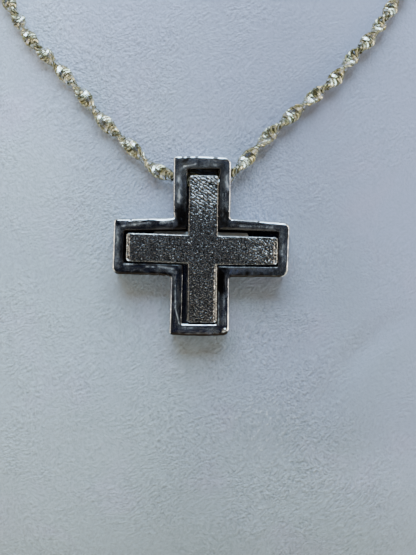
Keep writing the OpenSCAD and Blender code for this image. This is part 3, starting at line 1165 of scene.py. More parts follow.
@dataclass
class PendantFrame:
    """Polished outer cross: rim, walls, back wall, chain slot, top window and boss."""

    seat: Seat
    finish: PolishedSilver = PolishedSilver()
    outer: CrossOutline = CrossOutline(3.95, 12.0, 12.1, 12.45, 11.95, OUTER_FINISH)
    opening: CrossOutline = CrossOutline(2.4, 10.6, 10.7, 10.9, 10.5, OPENING_FINISH)
    depth: float = Seat.depth
    edge_r: float = 0.17
    back_wall: float = 0.8
    wall_rings: int = 9
    face_rings: int = 17
    crown: float = 0.07
    crest: float = 0.35
    inner_r: float = 0.12
    worked_from: float = -1.6
    worked_full: float = -0.2
    aged_from: float = -0.5
    sharp_from: float = 35.0
    waves: tuple[Ripple, ...] = (Ripple(0.05, 3.0, 5.4), Ripple(0.015, 1.2, 9.9))
    sway: Ripple = Ripple(0.03, 1.9, 13.0)
    rubbing: Ripple = Ripple(0.5, 0.9, 21.0)
    smears: tuple[Ripple, ...] = (Ripple(1.2, 0.45, 31.0), Ripple(0.8, 1.3, 37.0))
    blotches: Ripple = Ripple(0.5, 0.7, 43.0)
    bow: float = 0.15
    bow_half: float = 3.9
    bow_run: float = 1.2
    bow_starts: tuple[float, float] = (11.2, 10.8)
    slot_w: float = 2.3
    slot_h: float = 3.1
    slot_rise: float = 10.15
    slot_back: float = 2.3
    slot_points: int = 48
    window_low: float = 8.4
    window_half: float = 2.0
    window_shift: float = 0.2
    spare: float = 1.0
    boss_bar_w: float = 13.2
    boss_up: float = 8.2
    boss_gap: float = 0.15
    boss_step: float = 0.2
    boss_shift: float = 0.15
    boss_top: float = -1.1
    boss_r: float = 0.4
    boss_bevel: float = 0.1
    boss_points: int = 64
    bar_finish: tuple[float, float] = (0.3, 2.0)
    post_finish: tuple[float, float] = (-0.6, 0.12)
    end_finish: tuple[float, float] = (0.3, -0.5)
    # wear with painted light and shade of the back, outer walls, rounded edge, lip and opening walls
    back_wear_and_painted_light: WearAndPaintedLight = WearAndPaintedLight(0.4, -0.6, 0.4)
    side_wear_and_painted_light: WearAndPaintedLight = WearAndPaintedLight(0.1, -0.8, 0.1)
    edge_wear_and_painted_light: WearAndPaintedLight = WearAndPaintedLight(0.9, -1.0, 0.1)
    lip_wear_and_painted_light: WearAndPaintedLight = WearAndPaintedLight(-1.0, -1.6, -1.0)
    wall_wear_and_painted_light: WearAndPaintedLight = WearAndPaintedLight(-0.5, -1.6, -0.5)

    def _crowned(self, share: float) -> float:
        """Works out the height of the rim's face between its outer edge and the opening.

        Args:
            share: Share of the way, from zero to one.

        Returns:
            The height.
        """
        if share < self.crest:
            return self.crown * (1 - 0.5 * ((self.crest - share) / self.crest) ** 2)
        return self.crown * (1 - ((share - self.crest) / (1 - self.crest)) ** 2)

    def _face_wear_and_painted_light(self, share: float) -> WearAndPaintedLight:
        """Works out the wear and painted shade of the rim's face, bright at its outer edge, dull toward the
        opening, and painted dark where its outer part faces down.

        Args:
            share: Share of the way, from zero to one.

        Returns:
            The wear and painted shade.
        """
        dull = 0.6 * float(ease((share - 0.3) / 0.5))
        bright = 0.5 * max(0.0, 1 - 20 * share) - dull
        return WearAndPaintedLight(bright, -max(0.0, 1 - 4 * share) - 0.7 * dull, bright)

    def _rings(self) -> tuple[list[np.ndarray], list[np.ndarray]]:
        """Makes the rings of the skin from the back to the floor.

        Returns:
            The rings, and the wear and painted light and shade of each ring's points.
        """
        counts = self.outer.counts()
        rings, wear = [], []

        def ring(flat: np.ndarray, height: float, wear_and_painted_light: WearAndPaintedLight, outward: int = 1) -> None:
            """Adds one ring at a height."""
            rings.append(at_height(flat, height))
            wear.append(wear_and_painted_light.over(flat, outward))

        # back, outer walls and rounded edge: painted shade where they face down, and painted light where
        # the rounded edge faces up
        for inset, drop in rounding(self.edge_r, 90, 60, 30, 0):
            ring(self.outer.points(inset, counts), -self.depth + drop, self.back_wear_and_painted_light)
        for height in np.linspace(-self.depth + self.edge_r, -self.edge_r, self.wall_rings)[1:-1]:
            ring(self.outer.points(0, counts), height, self.side_wear_and_painted_light)
        for inset, drop in rounding(self.edge_r, 0, 15, 30, 45, 60, 75):
            ring(self.outer.points(inset, counts), -drop, self.edge_wear_and_painted_light)
        # the rim's face: its outer part painted dark where it faces down
        start, end = self.outer.points(self.edge_r, counts), self.opening.points(-self.inner_r, counts)
        for share in np.linspace(0, 1, self.face_rings):
            ring(start + share * (end - start), self._crowned(share), self._face_wear_and_painted_light(share))
        # the lip and walls of the opening are darkened, most where they face down: painted shade
        for inset, drop in rounding(self.inner_r, 75, 55, 35, 15, 0):
            ring(self.opening.points(-inset, counts), -drop, self.lip_wear_and_painted_light, -1)
        floor = -self.depth + self.back_wall
        for height in np.linspace(-self.inner_r, floor, self.wall_rings)[1:]:
            ring(self.opening.points(0, counts), height, self.wall_wear_and_painted_light, -1)
        return rings, wear

    def _worked(self, points: np.ndarray) -> np.ndarray:
        """Gives points the waves, worn places and marks of the hand finish.

        Args:
            points: Points of the skin.

        Returns:
            The points, moved.
        """
        worked = points.copy()
        flat, above = points[:, :2], points[:, 1]
        front = ease((points[:, 2] - self.worked_from) / (self.worked_full - self.worked_from))
        bowed = self.bow * (1 - (points[:, 0] / self.bow_half) ** 2)
        worked[:, 1] += bowed * ease((above - self.bow_starts[0]) / self.bow_run)
        worked[:, 1] -= bowed * ease((-above - self.bow_starts[1]) / self.bow_run)
        worked[:, 2] += front * ripples(points * (1, 1, 0.3), self.waves)
        level_arm = np.abs(points[:, 0]) > np.abs(above)
        outwards = np.where(level_arm[:, None], (0, 1), (1, 0)) * np.sign(flat)
        worked[:, :2] += (front * self.sway.at(points * (1, 1, 0.2)))[:, None] * outwards
        uneven = 1 + self.rubbing.at(points * (1, 1, 0))
        for wear in WEARS:
            worked[:, 2] -= front * uneven * wear.at(flat)
        for mark in MARKS:
            away = np.linalg.norm(flat - (mark.right, mark.above), axis=1)
            worked[:, 2] -= mark.depth * front * np.exp(-(away / mark.size) ** 2)
        return worked

    def _store_wear_and_painted_light(self, piece: bpy.types.Object, points: np.ndarray, wear: np.ndarray) -> None:
        """Stores the skin's wear, with painted highlights and shade, and its pale film, with painted
        reflections.

        Args:
            piece: The skin, whose last two points are the middles of its ends.
            points: Its other points, before the hand finish.
            wear: Their wear and painted light and shade, before the glints.
        """
        flat, front = points[:, :2], points[:, 2] > self.aged_from
        uneven = 1 + ripples(points, self.smears)
        # glints: painted highlights as metal rubbed bright, and painted shade where their amount is
        # negative
        for glint in GLINTS:
            wear += glint.at(flat) * front * uneven
        wear *= 1 + self.blotches.at(points)
        put_attribute(piece, "wear", np.clip(np.concatenate([wear, self.end_finish]), -1, 1))
        # pale film along light lines and patches: painted reflections
        bloom = sum(stroke.at(flat) for stroke in FILM_AND_PAINTED_REFLECTIONS) * front * uneven
        put_attribute(piece, "bloom", np.clip(np.concatenate([bloom, np.zeros(2)]), 0, 1))

    def _cut(self, piece: bpy.types.Object, cutter: bpy.types.Object) -> None:
        """Takes the cutter out of a piece and removes it.

        Args:
            piece: The piece.
            cutter: A closed object.
        """
        modifier = piece.modifiers.new("cut", "BOOLEAN")
        modifier.operation, modifier.solver, modifier.object = "DIFFERENCE", "EXACT", cutter
        settle(piece, modifier, cutter)

    def _slot(self) -> bpy.types.Object:
        """Makes the solid of the upright slot through both walls of the top arm.

        Returns:
            The solid.
        """
        half_run, radius = (self.slot_h - self.slot_w) / 2, self.slot_w / 2
        angles = np.linspace(0, 2 * math.pi, self.slot_points, endpoint=False)
        rises = radius * np.sin(angles) + half_run * np.sign(np.round(np.sin(angles), 6))
        backs = radius * np.cos(angles)
        reach = self.outer.half_width + self.spare
        upright = np.column_stack([self.slot_rise + rises, backs - self.slot_back])
        return closed_loft("slot_cutter", [np.insert(upright, 0, x, axis=1) for x in (reach, -reach)])

    def _window(self) -> bpy.types.Object:
        """Makes the block that cuts the window at the top of the back wall.

        Returns:
            The block.
        """
        left, right = (self.window_shift + side * self.window_half for side in (-1, 1))
        low, high = self.window_low, self.opening.top
        base = np.array([(left, low), (right, low), (right, high), (left, high)])
        levels = (-self.depth - self.spare, -self.spare)
        return closed_loft("window_cutter", [at_height(base, level) for level in levels])

    def _boss(self) -> list[bpy.types.Object]:
        """Makes the bar and the post that carry the inner cross.

        Returns:
            Both objects.
        """
        bar_half = self.opening.half_width - self.boss_gap
        post_half = bar_half - self.boss_step
        bar_run, foot = self.boss_bar_w / 2, self.boss_gap - self.opening.bottom
        outlines = (
            ("boss_bar", self.bar_finish, (-bar_run, -bar_half), (bar_run, bar_half)),
            ("boss_post", self.post_finish, (self.boss_shift - post_half, foot),
             (self.boss_shift + post_half, self.boss_up)),
        )
        base, top, bevel = self.back_wall - self.depth, self.boss_top, self.boss_bevel
        profile = ((0.0, base - bevel), (0.0, top - bevel), (0.3 * bevel, top - 0.3 * bevel), (bevel, top))
        angles = circle(self.boss_points)
        corner = np.column_stack([np.cos(angles), np.sin(angles)])
        pieces = []
        for name, (worn, hazed), low, high in outlines:
            inner = np.subtract(high, low) / 2 - self.boss_r
            middle = np.add(high, low) / 2 + np.sign(corner) * inner
            piece = closed_loft(name, [at_height(middle + corner * (self.boss_r - drawn), height)
                                       for drawn, height in profile])
            put_attribute(piece, "wear", np.full(len(piece.data.vertices), worn))
            put_attribute(piece, "bloom", np.full(len(piece.data.vertices), hazed))
            pieces.append(piece)
        return pieces

    def build(self) -> bpy.types.Object:
        """Builds the frame on the chest.

        Returns:
            The object, at the origin of the scene.
        """
        rings, wear = self._rings()
        piece = closed_loft("polished_frame", [self._worked(ring) for ring in rings])
        self._store_wear_and_painted_light(piece, np.vstack(rings), np.concatenate(wear))
        self._cut(piece, self._slot())
        self._cut(piece, self._window())
        join(piece, self._boss())
        sharpen(piece, self.sharp_from)
        dress(piece, self.seat, self.finish.material())
        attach(piece, ROOT)
        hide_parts("frame")
        log.info("polished frame: %d faces", len(piece.data.polygons))
        return piece


def settle(piece: bpy.types.Object, modifier: bpy.types.Modifier, helper: bpy.types.Object) -> None:
    """Applies a modifier to its piece and removes the object that it worked with.

    Args:
        piece: The piece.
        modifier: Its modifier.
        helper: The object that the modifier worked with.
    """
    graph = bpy.context.evaluated_depsgraph_get()
    mesh = bpy.data.meshes.new_from_object(piece.evaluated_get(graph), depsgraph=graph)
    piece.modifiers.remove(modifier)
    piece.data = mesh
    bpy.data.objects.remove(helper)


def join(piece: bpy.types.Object, others: list[bpy.types.Object]) -> None:
    """Joins other objects into a piece."""
    with bpy.context.temp_override(active_object=piece, selected_editable_objects=[piece, *others]):
        bpy.ops.object.join()


def sharpen(piece: bpy.types.Object, degrees: float) -> None:
    """Marks the edges that turn by more than an angle as sharp."""
    piece.data.polygons.foreach_set("use_smooth", [True] * len(piece.data.polygons))
    piece.data.set_sharp_from_angle(angle=math.radians(degrees))


def dress(piece: bpy.types.Object, seat: Seat, material: bpy.types.Material) -> None:
    """Keeps a pendant piece's own places as an attribute, seats it and gives it a material.

    Args:
        piece: The piece, with its points round the crossing.
        seat: Its place on the chest.
        material: Its material.
    """
    places = np.zeros(len(piece.data.vertices) * 3, np.float32)
    piece.data.vertices.foreach_get("co", places)
    put_attribute(piece, "local", places.reshape(-1, 3) / MM)
    piece.data.transform(seat.matrix())
    piece.data.materials.clear()
    piece.data.materials.append(material)


@dataclass
class InnerCross:
    """Cast slab with a stippled face, seated in the frame."""

    seat: Seat
    finish: StippledSilver = StippledSilver()
    outline: CrossOutline = CrossOutline(2.0, 10.55, 10.25, 10.2, 10.05, INNER_FINISH, spacing=0.09)
    shift: float = 0.33
    drop: float = 0.22
    thickness: float = 1.35
    proud: float = 0.3
    edge_r: float = 0.15
    edge_wear_and_painted_shade: float = 0.22
    side_rings: int = 6
    side_relief: float = 0.3
    back_edge: float = 0.08
    grain_step: float = 0.056
    fine_relief: float = 0.010
    coarse_relief: float = 0.030
    border_relief: float = 0.7
    facet: float = 0.62
    lean: float = -33.0
    ridge_pitch: float = 0.38
    worm_size: tuple[float, float] = (0.34, 0.17)
    wander: tuple[Ripple, ...] = (Ripple(0.20, 1.1, 17.0), Ripple(0.08, 0.45, 19.0))
    worms: Ripple = Ripple(1.7, 1.0, 2.0)
    grains: Ripple = Ripple(1.8, 0.18, 7.0)
    chatter: Ripple = Ripple(0.45, 0.4, 51.0)
    edge_waves: tuple[Ripple, ...] = (Ripple(0.012, 0.5, 4.0), Ripple(0.022, 0.26, 14.0))
    rubbing: Ripple = Ripple(1.3, 0.3, 41.0)
    margin: float = 0.06
    arms_rise: float = 0.05

    def _coarseness(self, flat: np.ndarray) -> np.ndarray:
        """Works out where the stipple is coarse: up the top arm, at the right arm's end and down the foot.

        Args:
            flat: Points in the rim's plane.

        Returns:
            A share from zero to one for each point.
        """
        up = ease((flat[:, 1] - 2.3) / 6.5) * (np.abs(flat[:, 0]) < 2.6)
        out = 0.8 * ease((flat[:, 0] - 3.0) / 7.0)
        low = 0.15 * ease((-flat[:, 1] - 2.0) / 6.0)
        return np.maximum(np.maximum(up, out), low)

    def _face(self) -> tuple[np.ndarray, list[tuple[int, ...]], int]:
        """Makes the front, a fine mesh within the outline.

        Returns:
            Its points and faces, and how many of the points are its border.
        """
        border = self.outline.points(self.edge_r)
        within = self.outline.points(self.edge_r + self.grain_step)
        reach = max(self.outline.left, self.outline.right, self.outline.top, self.outline.bottom)
        rows = np.arange(-reach, reach, self.grain_step * math.sqrt(3) / 2)
        grid = np.array([
            (x + (row % 2) * self.grain_step / 2, y)
            for row, y in enumerate(rows)
            for x in np.arange(-reach, reach, self.grain_step)
        ])
        keep = self._inside(grid, self.edge_r + 1.7 * self.grain_step)
        points = [Vector(point) for point in np.vstack([border, within, grid[keep]])]
        count = len(border)
        edges = [(i, (i + 1) % count) for i in range(count)]
        flat, _, faces, *_ = delaunay_2d_cdt(points, edges, [], 1, 1e-5)
        return np.array(flat), [tuple(face) for face in faces], count

    def _inside(self, flat: np.ndarray, inset: float) -> np.ndarray:
        """Finds the points inside the outline.

        Args:
            flat: Points in the rim's plane.
            inset: How far inside they have to lie, beside the corners' finish.

        Returns:
            Whether each point lies inside.
        """
        o, near = self.outline, inset + self.margin
        right, above = flat[:, 0], flat[:, 1]
        upright = (np.abs(right) < o.half_width - near) & (above < o.top - near) \
            & (above > -o.bottom + near + self.margin)
        level = (np.abs(above - self.arms_rise) < o.half_width - near - self.margin) \
            & (right < o.right - near) & (right > -o.left + near)
        return upright | level

    def _relief(self, flat: np.ndarray) -> tuple[np.ndarray, np.ndarray]:
        """Works out the stipple.

        Args:
            flat: Points in the rim's plane.

        Returns:
            Each point's height, and its share from hollow to crest.
        """
        places = at_height(flat)
        coarse = self._coarseness(flat)
        lean = math.radians(self.lean)
        along = flat @ (math.cos(lean), math.sin(lean))
        aside = flat @ (-math.sin(lean), math.cos(lean))
        ridges = np.sin(2 * math.pi * (aside + ripples(places, self.wander)) / self.ridge_pitch)
        drawn = at_height(np.column_stack([along, aside]) / self.worm_size)
        worms = np.clip(0.8 * ridges + self.worms.at(drawn) - 0.1, -1, 1)
        grains = self.grains.at(places)
        height = self.fine_relief * grains + coarse * self.coarse_relief * worms
        share = 0.45 + 0.75 * grains * (1 - 0.4 * coarse) + coarse * (0.06 + 0.75 * worms)
        return height, np.clip(share, 0, 1)

    def _profile(self) -> list[tuple[float, float, float]]:
        """Lists the rings of the sides, from the face to the back.

        Returns:
            The inset, height and wear of each ring.
        """
        back = self.proud - self.thickness
        rows = [(inset, self.proud - drop, 1.0) for inset, drop in rounding(self.edge_r, 70, 50, 30, 10)]
        sides = np.linspace(self.proud - self.edge_r, back + self.back_edge, self.side_rings)
        return rows + [(0.0, height, 0.2) for height in sides] + [(self.back_edge, back, 0.0)]

    def build(self) -> bpy.types.Object:
        """Builds the slab on the chest.

        Returns:
            The object, at the origin of the scene.
        """
        flat, faces, border = self._face()
        height, share = self._relief(flat)
        height[:border] *= self.border_relief
        uneven = 1 + self.chatter.at(at_height(flat))
        for glint in INNER_GLINTS:
            height -= glint.facet(flat, self.facet) * uneven
        points, relief, wear = [at_height(flat, self.proud + height)], [share], [np.zeros(len(flat))]
        back = self.proud - self.thickness
        previous, total = range(border), len(flat)
        after = [(i + 1) % border for i in range(border)]
        for inset, level, worn in self._profile():
            outline = self.outline.points(inset)
            waves = ripples(at_height(outline, level), self.edge_waves) * (level > back + 0.1)
            points.append(at_height(outline, level + waves))
            relief.append(np.full(border, self.side_relief))
            # edges keep less wear where they face down and stay darker: painted shade
            wear.append(self.edge_wear_and_painted_shade * worn * (1 - facing_down(outline, 1)))
            ring = range(total, total + border)
            faces += [(previous[i], ring[i], ring[after[i]], previous[after[i]]) for i in range(border)]
            previous = ring
            total += border
        points.append(np.array([(0.0, 0.0, back)]))
        relief.append(np.zeros(1))
        wear.append(np.zeros(1))
        faces += [(previous[i], total, previous[after[i]]) for i in range(border)]
        places = np.vstack(points)
        worn = np.concatenate(wear)
        crests = np.ones(len(places))
        crests[border:len(flat)] = 1.6 * ease((share[border:] - 0.4) / 0.3)
        # glints: worn crests where highlights fall, painted highlights
        for glint in INNER_GLINTS:
            worn += glint.at(places[:, :2]) * (places[:, 2] > 0.05) * crests
        worn *= 1 + self.rubbing.at(places)
        piece = make_mesh("stippled_cross", places + (self.shift, -self.drop, 0.0), faces)
        put_attribute(piece, "relief", np.concatenate(relief))
        put_attribute(piece, "wear", np.clip(worn, 0, 1))
        dress(piece, self.seat, self.finish.material())
        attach(piece, ROOT)
        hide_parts("inner_cross")
        log.info("stippled cross: %d faces", len(piece.data.polygons))
        return piece


class Lift(Enum):
    """How high the chain's middle passes above the bust's skin."""

    LYING = 1.0
    RISING = 1.3
    PASSING = 1.7
    HUNG = 1.82


@dataclass(frozen=True)
class Stop:
    """Point of the chain's course: turn round the bust, height, and lift off its skin."""

    turn: float
    height: float
    lift: Lift = Lift.LYING


def neck_stops(side: int) -> list[Stop]:
    """Lists the stops round one side of the neck, between the chest and the nape.

    Args:
        side: 1 for the right side, -1 for the left.

    Returns:
        The stops, in order of their turn.
    """
    course = (
        (18, 103.1), (22, 110), (28, 118.1), (35, 125.1), (42, 130.5), (50, 135.6), (59, 140.6),
        (69, 145.2), (79, 149.1), (91, 152.9), (104, 156.2), (118, 159.2), (132, 161.9),
        (146, 164.5), (160, 167.1), (174.4, 170.3),
    )
    return [Stop(side * turn, height) for turn, height in course][::side]


ROUTE = (
    *neck_stops(-1),
    Stop(-15, 96.9), Stop(-12.7, 91.3), Stop(-11, 88.6), Stop(-9.4, 85.8), Stop(-8, 83.1),
    Stop(-6.5, 79.8), Stop(-4.5, 76.4),
    Stop(-2.7, 73.1, Lift.RISING), Stop(-1.6, 72.1, Lift.PASSING),
    Stop(-0.7, 71.6, Lift.HUNG), Stop(0, 71.4, Lift.HUNG), Stop(0.9, 71.6, Lift.HUNG),
    Stop(1.7, 72.3, Lift.PASSING), Stop(2.7, 74.4, Lift.RISING),
    Stop(4.2, 77.6), Stop(5.6, 79.9), Stop(7.5, 82.8), Stop(9.5, 85.6), Stop(11, 88.6),
    Stop(12.8, 91.7), Stop(15, 96.4),
    *neck_stops(1),
)

# columns: distance along the chain from the pendant, half turns of the twist
TWIST = np.array([
    (-200, -63), (-60, -15.3), (-38.5, -8), (-29.3, -5), (-21, -3), (-11.3, -1), (-5.9, 0),
    (7.7, 3), (16.6, 5), (24.8, 7), (31.8, 9), (37.6, 11), (60, 18.6), (200, 66.6),
], float)


@dataclass(frozen=True)
class LinkShape:
    """One link: an oval ring of wire that leans forward and twists a little, cut flat on both faces."""

    half_length: float = 0.46
    half_width: float = 0.84
    wire: float = 0.23
    lean: float = 0.48
    saddle: float = 0.20
    cut: float = 0.52
    segments: int = 14
    sides: int = 6

    def build(self) -> bpy.types.Object:
        """Builds the link in its own frame, with X along the chain and Y across it.

        Returns:
            The object, at the origin of the scene.
        """
        points = []
        for angle in circle(self.segments):
            centre = np.array([self.half_length * math.cos(angle), self.half_width * math.sin(angle)])
            outward = unit(centre / (self.half_length ** 2, self.half_width ** 2))
            for turn in circle(self.sides):
                rise = self.lean * math.cos(angle) + self.saddle * math.sin(2 * angle)
                rise += self.wire * math.sin(turn)
                points.append((*(centre + self.wire * math.cos(turn) * outward), rise))
        faces = []
        for i in range(self.segments):
            after = self.sides if i + 1 < self.segments else self.sides * (1 - self.segments)
            for k in range(self.sides):
                a, b = i * self.sides + k, i * self.sides + (k + 1) % self.sides
                faces.append((a, a + after, b + after, b))
        held = np.array(points)
        held[:, 2] = np.clip(held[:, 2], -self.cut, self.cut)
        link = make_mesh("link_shape", held, faces)
        link.data.polygons.foreach_set("use_smooth", [False] * len(faces))
        cut = link.data.attributes.new("cut", "FLOAT", "FACE")
        heights = np.abs(held[:, 2])[np.array(faces)]
        cut.data.foreach_set("value", (heights.min(axis=1) > self.cut - 1e-6).astype(np.float32))
        return link


@dataclass
class Chain:
    """Twisted curb chain, a whole loop round the neck and through the pendant."""

    bust: Bust
    finish: ChainSilver = ChainSilver()
    link: LinkShape = LinkShape()
    pitch: float = 0.44
    sway: tuple[float, float, float] = (0.10, 0.10, 0.06)
    dip: float = 0.28
    seed: int = 7
    shade_seed: int = 3
    samples: int = 24
    clear: float = 0.1

    def _course(self) -> tuple[np.ndarray, np.ndarray, np.ndarray]:
        """Works out the course of the chain.

        Returns:
            Its middles, the skin's normals there, and the distances from the pendant.
        """
        table = np.array([(stop.turn, stop.height, stop.lift.value) for stop in ROUTE])
        turns = np.concatenate([
            np.linspace(a, b, self.samples, endpoint=False) for a, b in zip(table[:-1, 0], table[1:, 0])
        ] + [table[-1:, 0]])
        heights, lifts = smooth(table, turns, 1), smooth(table, turns, 2)
        points = self.bust.lifted(turns, heights, lifts + self.clear * (lifts < Lift.RISING.value))
        steps = np.linalg.norm(np.diff(points, axis=0), axis=1)
        run = np.concatenate([[0.0], np.cumsum(steps)])
        return points, self.bust.normal(turns, heights), run - np.interp(0.0, turns, run)

    def _tree(self, material: bpy.types.Material, link: bpy.types.Object) -> bpy.types.NodeTree:
        """Makes the tree that sets a link at every pitch of the course and turns it by the twist.

        Args:
            material: The links' material.
            link: The shape of one link.

        Returns:
            The tree of the modifier.
        """
        group = bpy.data.node_groups.new("twisted_links", "GeometryNodeTree")
        tree = NodeTree(group)
        inputs = {"Course": "Geometry", "Pitch": "Float", "Sway": "Vector", "Dip": "Float", "Seed": "Int"}
        for name, kind in inputs.items():
            group.interface.new_socket(name, in_out="INPUT", socket_type="NodeSocket" + kind)
        group.interface.new_socket("Links", in_out="OUTPUT", socket_type="NodeSocketGeometry")
        given = tree.add("NodeGroupInput")
        curve = tree.add("GeometryNodeMeshToCurve", {"Mesh": given.out("Course")}).out()
        sockets = {"Curve": curve, "Length": given.out("Pitch")}
        even = tree.add("GeometryNodeResampleCurve", sockets, mode="LENGTH").out()
        rise, twist = (
            tree.add("GeometryNodeInputNamedAttribute", {"Name": name}, data_type=kind).out()
            for name, kind in (("rise", "FLOAT_VECTOR"), ("twist", "FLOAT"))
        )
        sockets = {"Primary Axis": tree.add("GeometryNodeInputTangent").out(), "Secondary Axis": rise}
        turned = tree.add("FunctionNodeAxesToRotation", sockets, primary_axis="X", secondary_axis="Y").out()
        about = tree.add("FunctionNodeAxisAngleToRotation", {"Axis": (1, 0, 0), "Angle": twist}).out()
        sway = given.out("Sway")
        sockets = {0: tree.vector("MULTIPLY", sway, (-1, -1, -1)), 1: sway, "Seed": given.out("Seed")}
        random = tree.add("FunctionNodeRandomValue", sockets, data_type="FLOAT_VECTOR").out()
        swayed = tree.add("FunctionNodeEulerToRotation", {"Euler": random}).out()
        for turn in (about, swayed):
            sockets = {"Rotation": turned, "Rotate By": turn}
            turned = tree.add("FunctionNodeRotateRotation", sockets, rotation_space="LOCAL").out()
        index = tree.add("GeometryNodeInputIndex").out()
        odd = tree.add("ShaderNodeMath", {0: index, 1: 2.0}, operation="MODULO").out()
        placed = tree.add("GeometryNodeInstanceOnPoints", {
            "Points": even,
            "Instance": tree.add("GeometryNodeObjectInfo", {"Object": link}).out("Geometry"),
            "Rotation": turned,
            "Scale": tree.joined(1.0, 1.0, 1.0 - odd * given.out("Dip")),
        }).out()
        shade = tree.add("FunctionNodeRandomValue", {"Seed": self.shade_seed}, data_type="FLOAT").out(1)
        stored = tree.add(
            "GeometryNodeStoreNamedAttribute", {"Geometry": placed, "Name": "shade", "Value": shade},
            data_type="FLOAT", domain="INSTANCE",
        ).out()
        real = tree.add("GeometryNodeRealizeInstances", {"Geometry": stored}).out()
        dressed = tree.add("GeometryNodeSetMaterial", {"Geometry": real, "Material": material}).out()
        tree.add("NodeGroupOutput", {"Links": dressed})
        return group

    def build(self) -> bpy.types.Object:
        """Builds the chain's links as one mesh.

        Returns:
            The object, at the origin of the scene.
        """
        points, rises, run = self._course()
        course = make_mesh("twisted_chain", points, [])
        course.data.edges.add(len(points) - 1)
        course.data.edges.foreach_set(
            "vertices", np.column_stack([np.arange(len(points) - 1), np.arange(1, len(points))]).ravel())
        put_attribute(course, "rise", rises)
        put_attribute(course, "twist", math.pi * (smooth(TWIST, run, 1) + 0.5))
        material = self.finish.material()
        link = self.link.build()
        modifier = course.modifiers.new("links", "NODES")
        modifier.node_group = self._tree(material, link)
        values = {"Pitch": self.pitch * MM, "Sway": self.sway, "Dip": self.dip, "Seed": self.seed}
        for item in modifier.node_group.interface.items_tree:
            if item.name in values:
                modifier[item.identifier] = values[item.name]
        settle(course, modifier, link)
        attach(course, ROOT)
        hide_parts("chain")
        log.info("chain: %.0f mm, %d faces", run[-1] - run[0], len(course.data.polygons))
        return course


@dataclass(frozen=True)
class SoftBox:
    """Soft studio light: where it is, how large, how strong and of what colour."""

    name: str
    place: Point
    size: tuple[float, float]
    power: float
    colour: Colour
    mirrored: bool = True


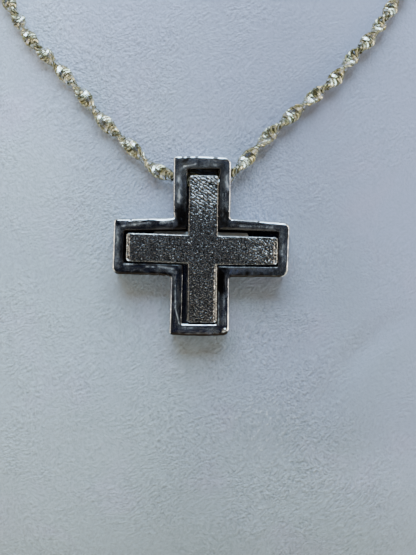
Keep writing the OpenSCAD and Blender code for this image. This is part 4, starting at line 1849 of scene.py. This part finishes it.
@dataclass
class Studio:
    """Plain pale floor, soft light and the camera at the photo's angle."""

    seat: Seat
    boxes: tuple[SoftBox, ...] = (
        SoftBox("overhead", (0, -236, 432), (390, 300), 3.26, (0.512, 0.755, 1.0)),
        SoftBox("ceiling", (-220, -360, 520), (800, 520), 0.60, (1.0, 0.60, 0.10), mirrored=False),
        SoftBox("left_strip", (-330, -160, 130), (30, 360), 0.22, (1.0, 0.92, 0.76)),
        SoftBox("right_strip", (330, -160, 130), (30, 300), 0.30, (1.0, 0.92, 0.76)),
        SoftBox("back_light", (0, 420, 330), (300, 200), 1.0, (1.0, 1.0, 1.0)),
    )
    distance: float = 124.0
    focal: float = 58.4
    sensor: float = 36.0
    offset: tuple[float, float] = (1.03, -4.09)
    floor_side: float = 6000.0
    floor: PaleFloor = PaleFloor()
    above: Colour = (0.225, 0.115, 0.004)
    beside: Colour = (0.08, 0.055, 0.03)
    ahead: Colour = (0.02, 0.016, 0.012)
    ahead_angles: tuple[float, float] = (42.0, 10.0)
    seen_above: Colour = (0.22, 0.20, 0.17)
    seen_beside: Colour = (0.13, 0.125, 0.115)
    side_glow: Colour = (0.85, 0.84, 0.79)
    window: Colour = (5.0, 4.9, 4.5)
    patches: Grain = Grain(7.0, 2.0, 0.6)
    seen_ahead: tuple[tuple[float, Colour], ...] = (
        (0.40, (0.004, 0.005, 0.007)),
        (0.50, (0.007, 0.012, 0.055)),
        (0.57, (0.018, 0.017, 0.020)),
        (0.62, (0.085, 0.080, 0.072)),
        (0.70, (0.330, 0.340, 0.360)),
    )
    backdrop: Colour = (0.78, 0.80, 0.84)

    def _camera(self) -> None:
        """Sets the camera square to the pendant, a little below and right of its crossing."""
        outward = self.seat.normal()
        right = Vector((1.0, 0.0, 0.0))
        up = outward.cross(right)
        data = bpy.data.cameras.new("camera")
        data.lens, data.sensor_width = self.focal, self.sensor
        data.clip_start, data.clip_end = 0.005, 20.0
        camera = bpy.data.objects.new("camera", data)
        bpy.context.scene.collection.objects.link(camera)
        place = self.seat.middle() + outward * self.distance + right * self.offset[0] + up * self.offset[1]
        camera.location = place * MM
        camera.rotation_euler = outward.to_track_quat("Z", "Y").to_euler()
        bpy.context.scene.camera = camera

    def _lights(self) -> None:
        """Sets the soft boxes, each aimed at the pendant."""
        for box in self.boxes:
            data = bpy.data.lights.new(box.name, "AREA")
            data.shape, data.size, data.size_y = "RECTANGLE", box.size[0] * MM, box.size[1] * MM
            data.energy, data.color = box.power, box.colour
            light = bpy.data.objects.new(box.name, data)
            bpy.context.scene.collection.objects.link(light)
            light.visible_glossy = box.mirrored
            place = Vector(box.place)
            light.location = place * MM
            light.rotation_euler = (place - self.seat.middle()).to_track_quat("Z", "Y").to_euler()

    def _gloss(self, tree: NodeTree, way: Signal, facing: Signal, dark: Signal, rise: Signal) -> Signal:
        """Colours what mirror rays see: patches ahead of the pendant, a glow beside them, and a window.

        Args:
            tree: The world's tree.
            way: Way that a ray leaves by.
            facing: How far the way lies along the pendant's normal.
            dark: One ahead of the pendant, and zero beside and behind it.
            rise: One above, and zero at the floor.

        Returns:
            The colour.
        """
        ahead = tree.ramp(tree.noise(way, self.patches), self.seen_ahead)
        glow = facing.between(0.10, 0.25) * (1.0 - facing.between(0.40, 0.55))
        window = facing.between(0.34, 0.38) * (1.0 - facing.between(0.50, 0.54))
        right = tree.split(way).out("X").between(0.5, 0.6)
        glowing = tree.mix(window * right, self.side_glow, self.window)
        room = tree.mix(glow, tree.mix(rise, self.seen_beside, self.seen_above), glowing)
        return tree.mix(dark, room, ahead)

    def _world(self) -> None:
        """Sets a soft room: light above, dimmer beside, and dark ahead of the pendant."""
        world = bpy.data.worlds.new("soft_room")
        bpy.context.scene.world = world
        world.use_nodes = True
        tree = NodeTree(world.node_tree)
        way = tree.add("ShaderNodeTexCoord").out("Generated")
        facing = tree.along(way, tuple(self.seat.normal()))
        dark = facing.between(*(math.cos(math.radians(angle)) for angle in self.ahead_angles))
        rise = tree.split(way).out("Z").between(-0.1, 0.75)
        lit = tree.mix(dark, tree.mix(rise, self.beside, self.above), self.ahead)
        rays = tree.add("ShaderNodeLightPath")
        seen = tree.mix(rays.out("Is Glossy Ray"), lit, self._gloss(tree, way, facing, dark, rise))
        colour = tree.mix(rays.out("Is Camera Ray"), seen, self.backdrop)
        light = tree.add("ShaderNodeBackground", {"Color": colour, "Strength": 1.0}).out()
        tree.add("ShaderNodeOutputWorld", {"Surface": light})

    def _floor(self) -> None:
        """Lays the floor that the bust stands on."""
        half = self.floor_side / 2
        base = np.array([(-half, -half, 0), (half, -half, 0), (half, half, 0), (-half, half, 0)], float)
        floor = make_mesh("pale_floor", base, [(0, 1, 2, 3)])
        floor.data.materials.append(self.floor.material())

    def build(self) -> None:
        """Makes the whole studio."""
        self._camera()
        self._lights()
        self._world()
        self._floor()
        log.info("studio: %d soft boxes", len(self.boxes))


@dataclass
class Clasp:
    """Spring ring on the nape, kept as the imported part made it."""

    node: bpy.types.Object
    finish: ClaspSilver = ClaspSilver()

    def dress(self) -> None:
        """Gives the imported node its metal."""
        material = self.finish.material()
        if not self.node.material_slots:
            self.node.data.materials.append(material)
        for slot in self.node.material_slots:
            slot.material = material
        log.info("clasp: %d faces", len(self.node.data.polygons))


def main() -> None:
    """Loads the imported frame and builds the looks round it."""
    logging.basicConfig(level=logging.INFO, format="%(name)s: %(message)s")
    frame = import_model()
    bust = Bust()
    seat = Seat(bust)
    Studio(seat).build()
    bust.build()
    PendantFrame(seat).build()
    InnerCross(seat).build()
    Chain(bust).build()
    Clasp(frame["nodes"]["clasp"]).dress()


if __name__ == "__main__":
    main()
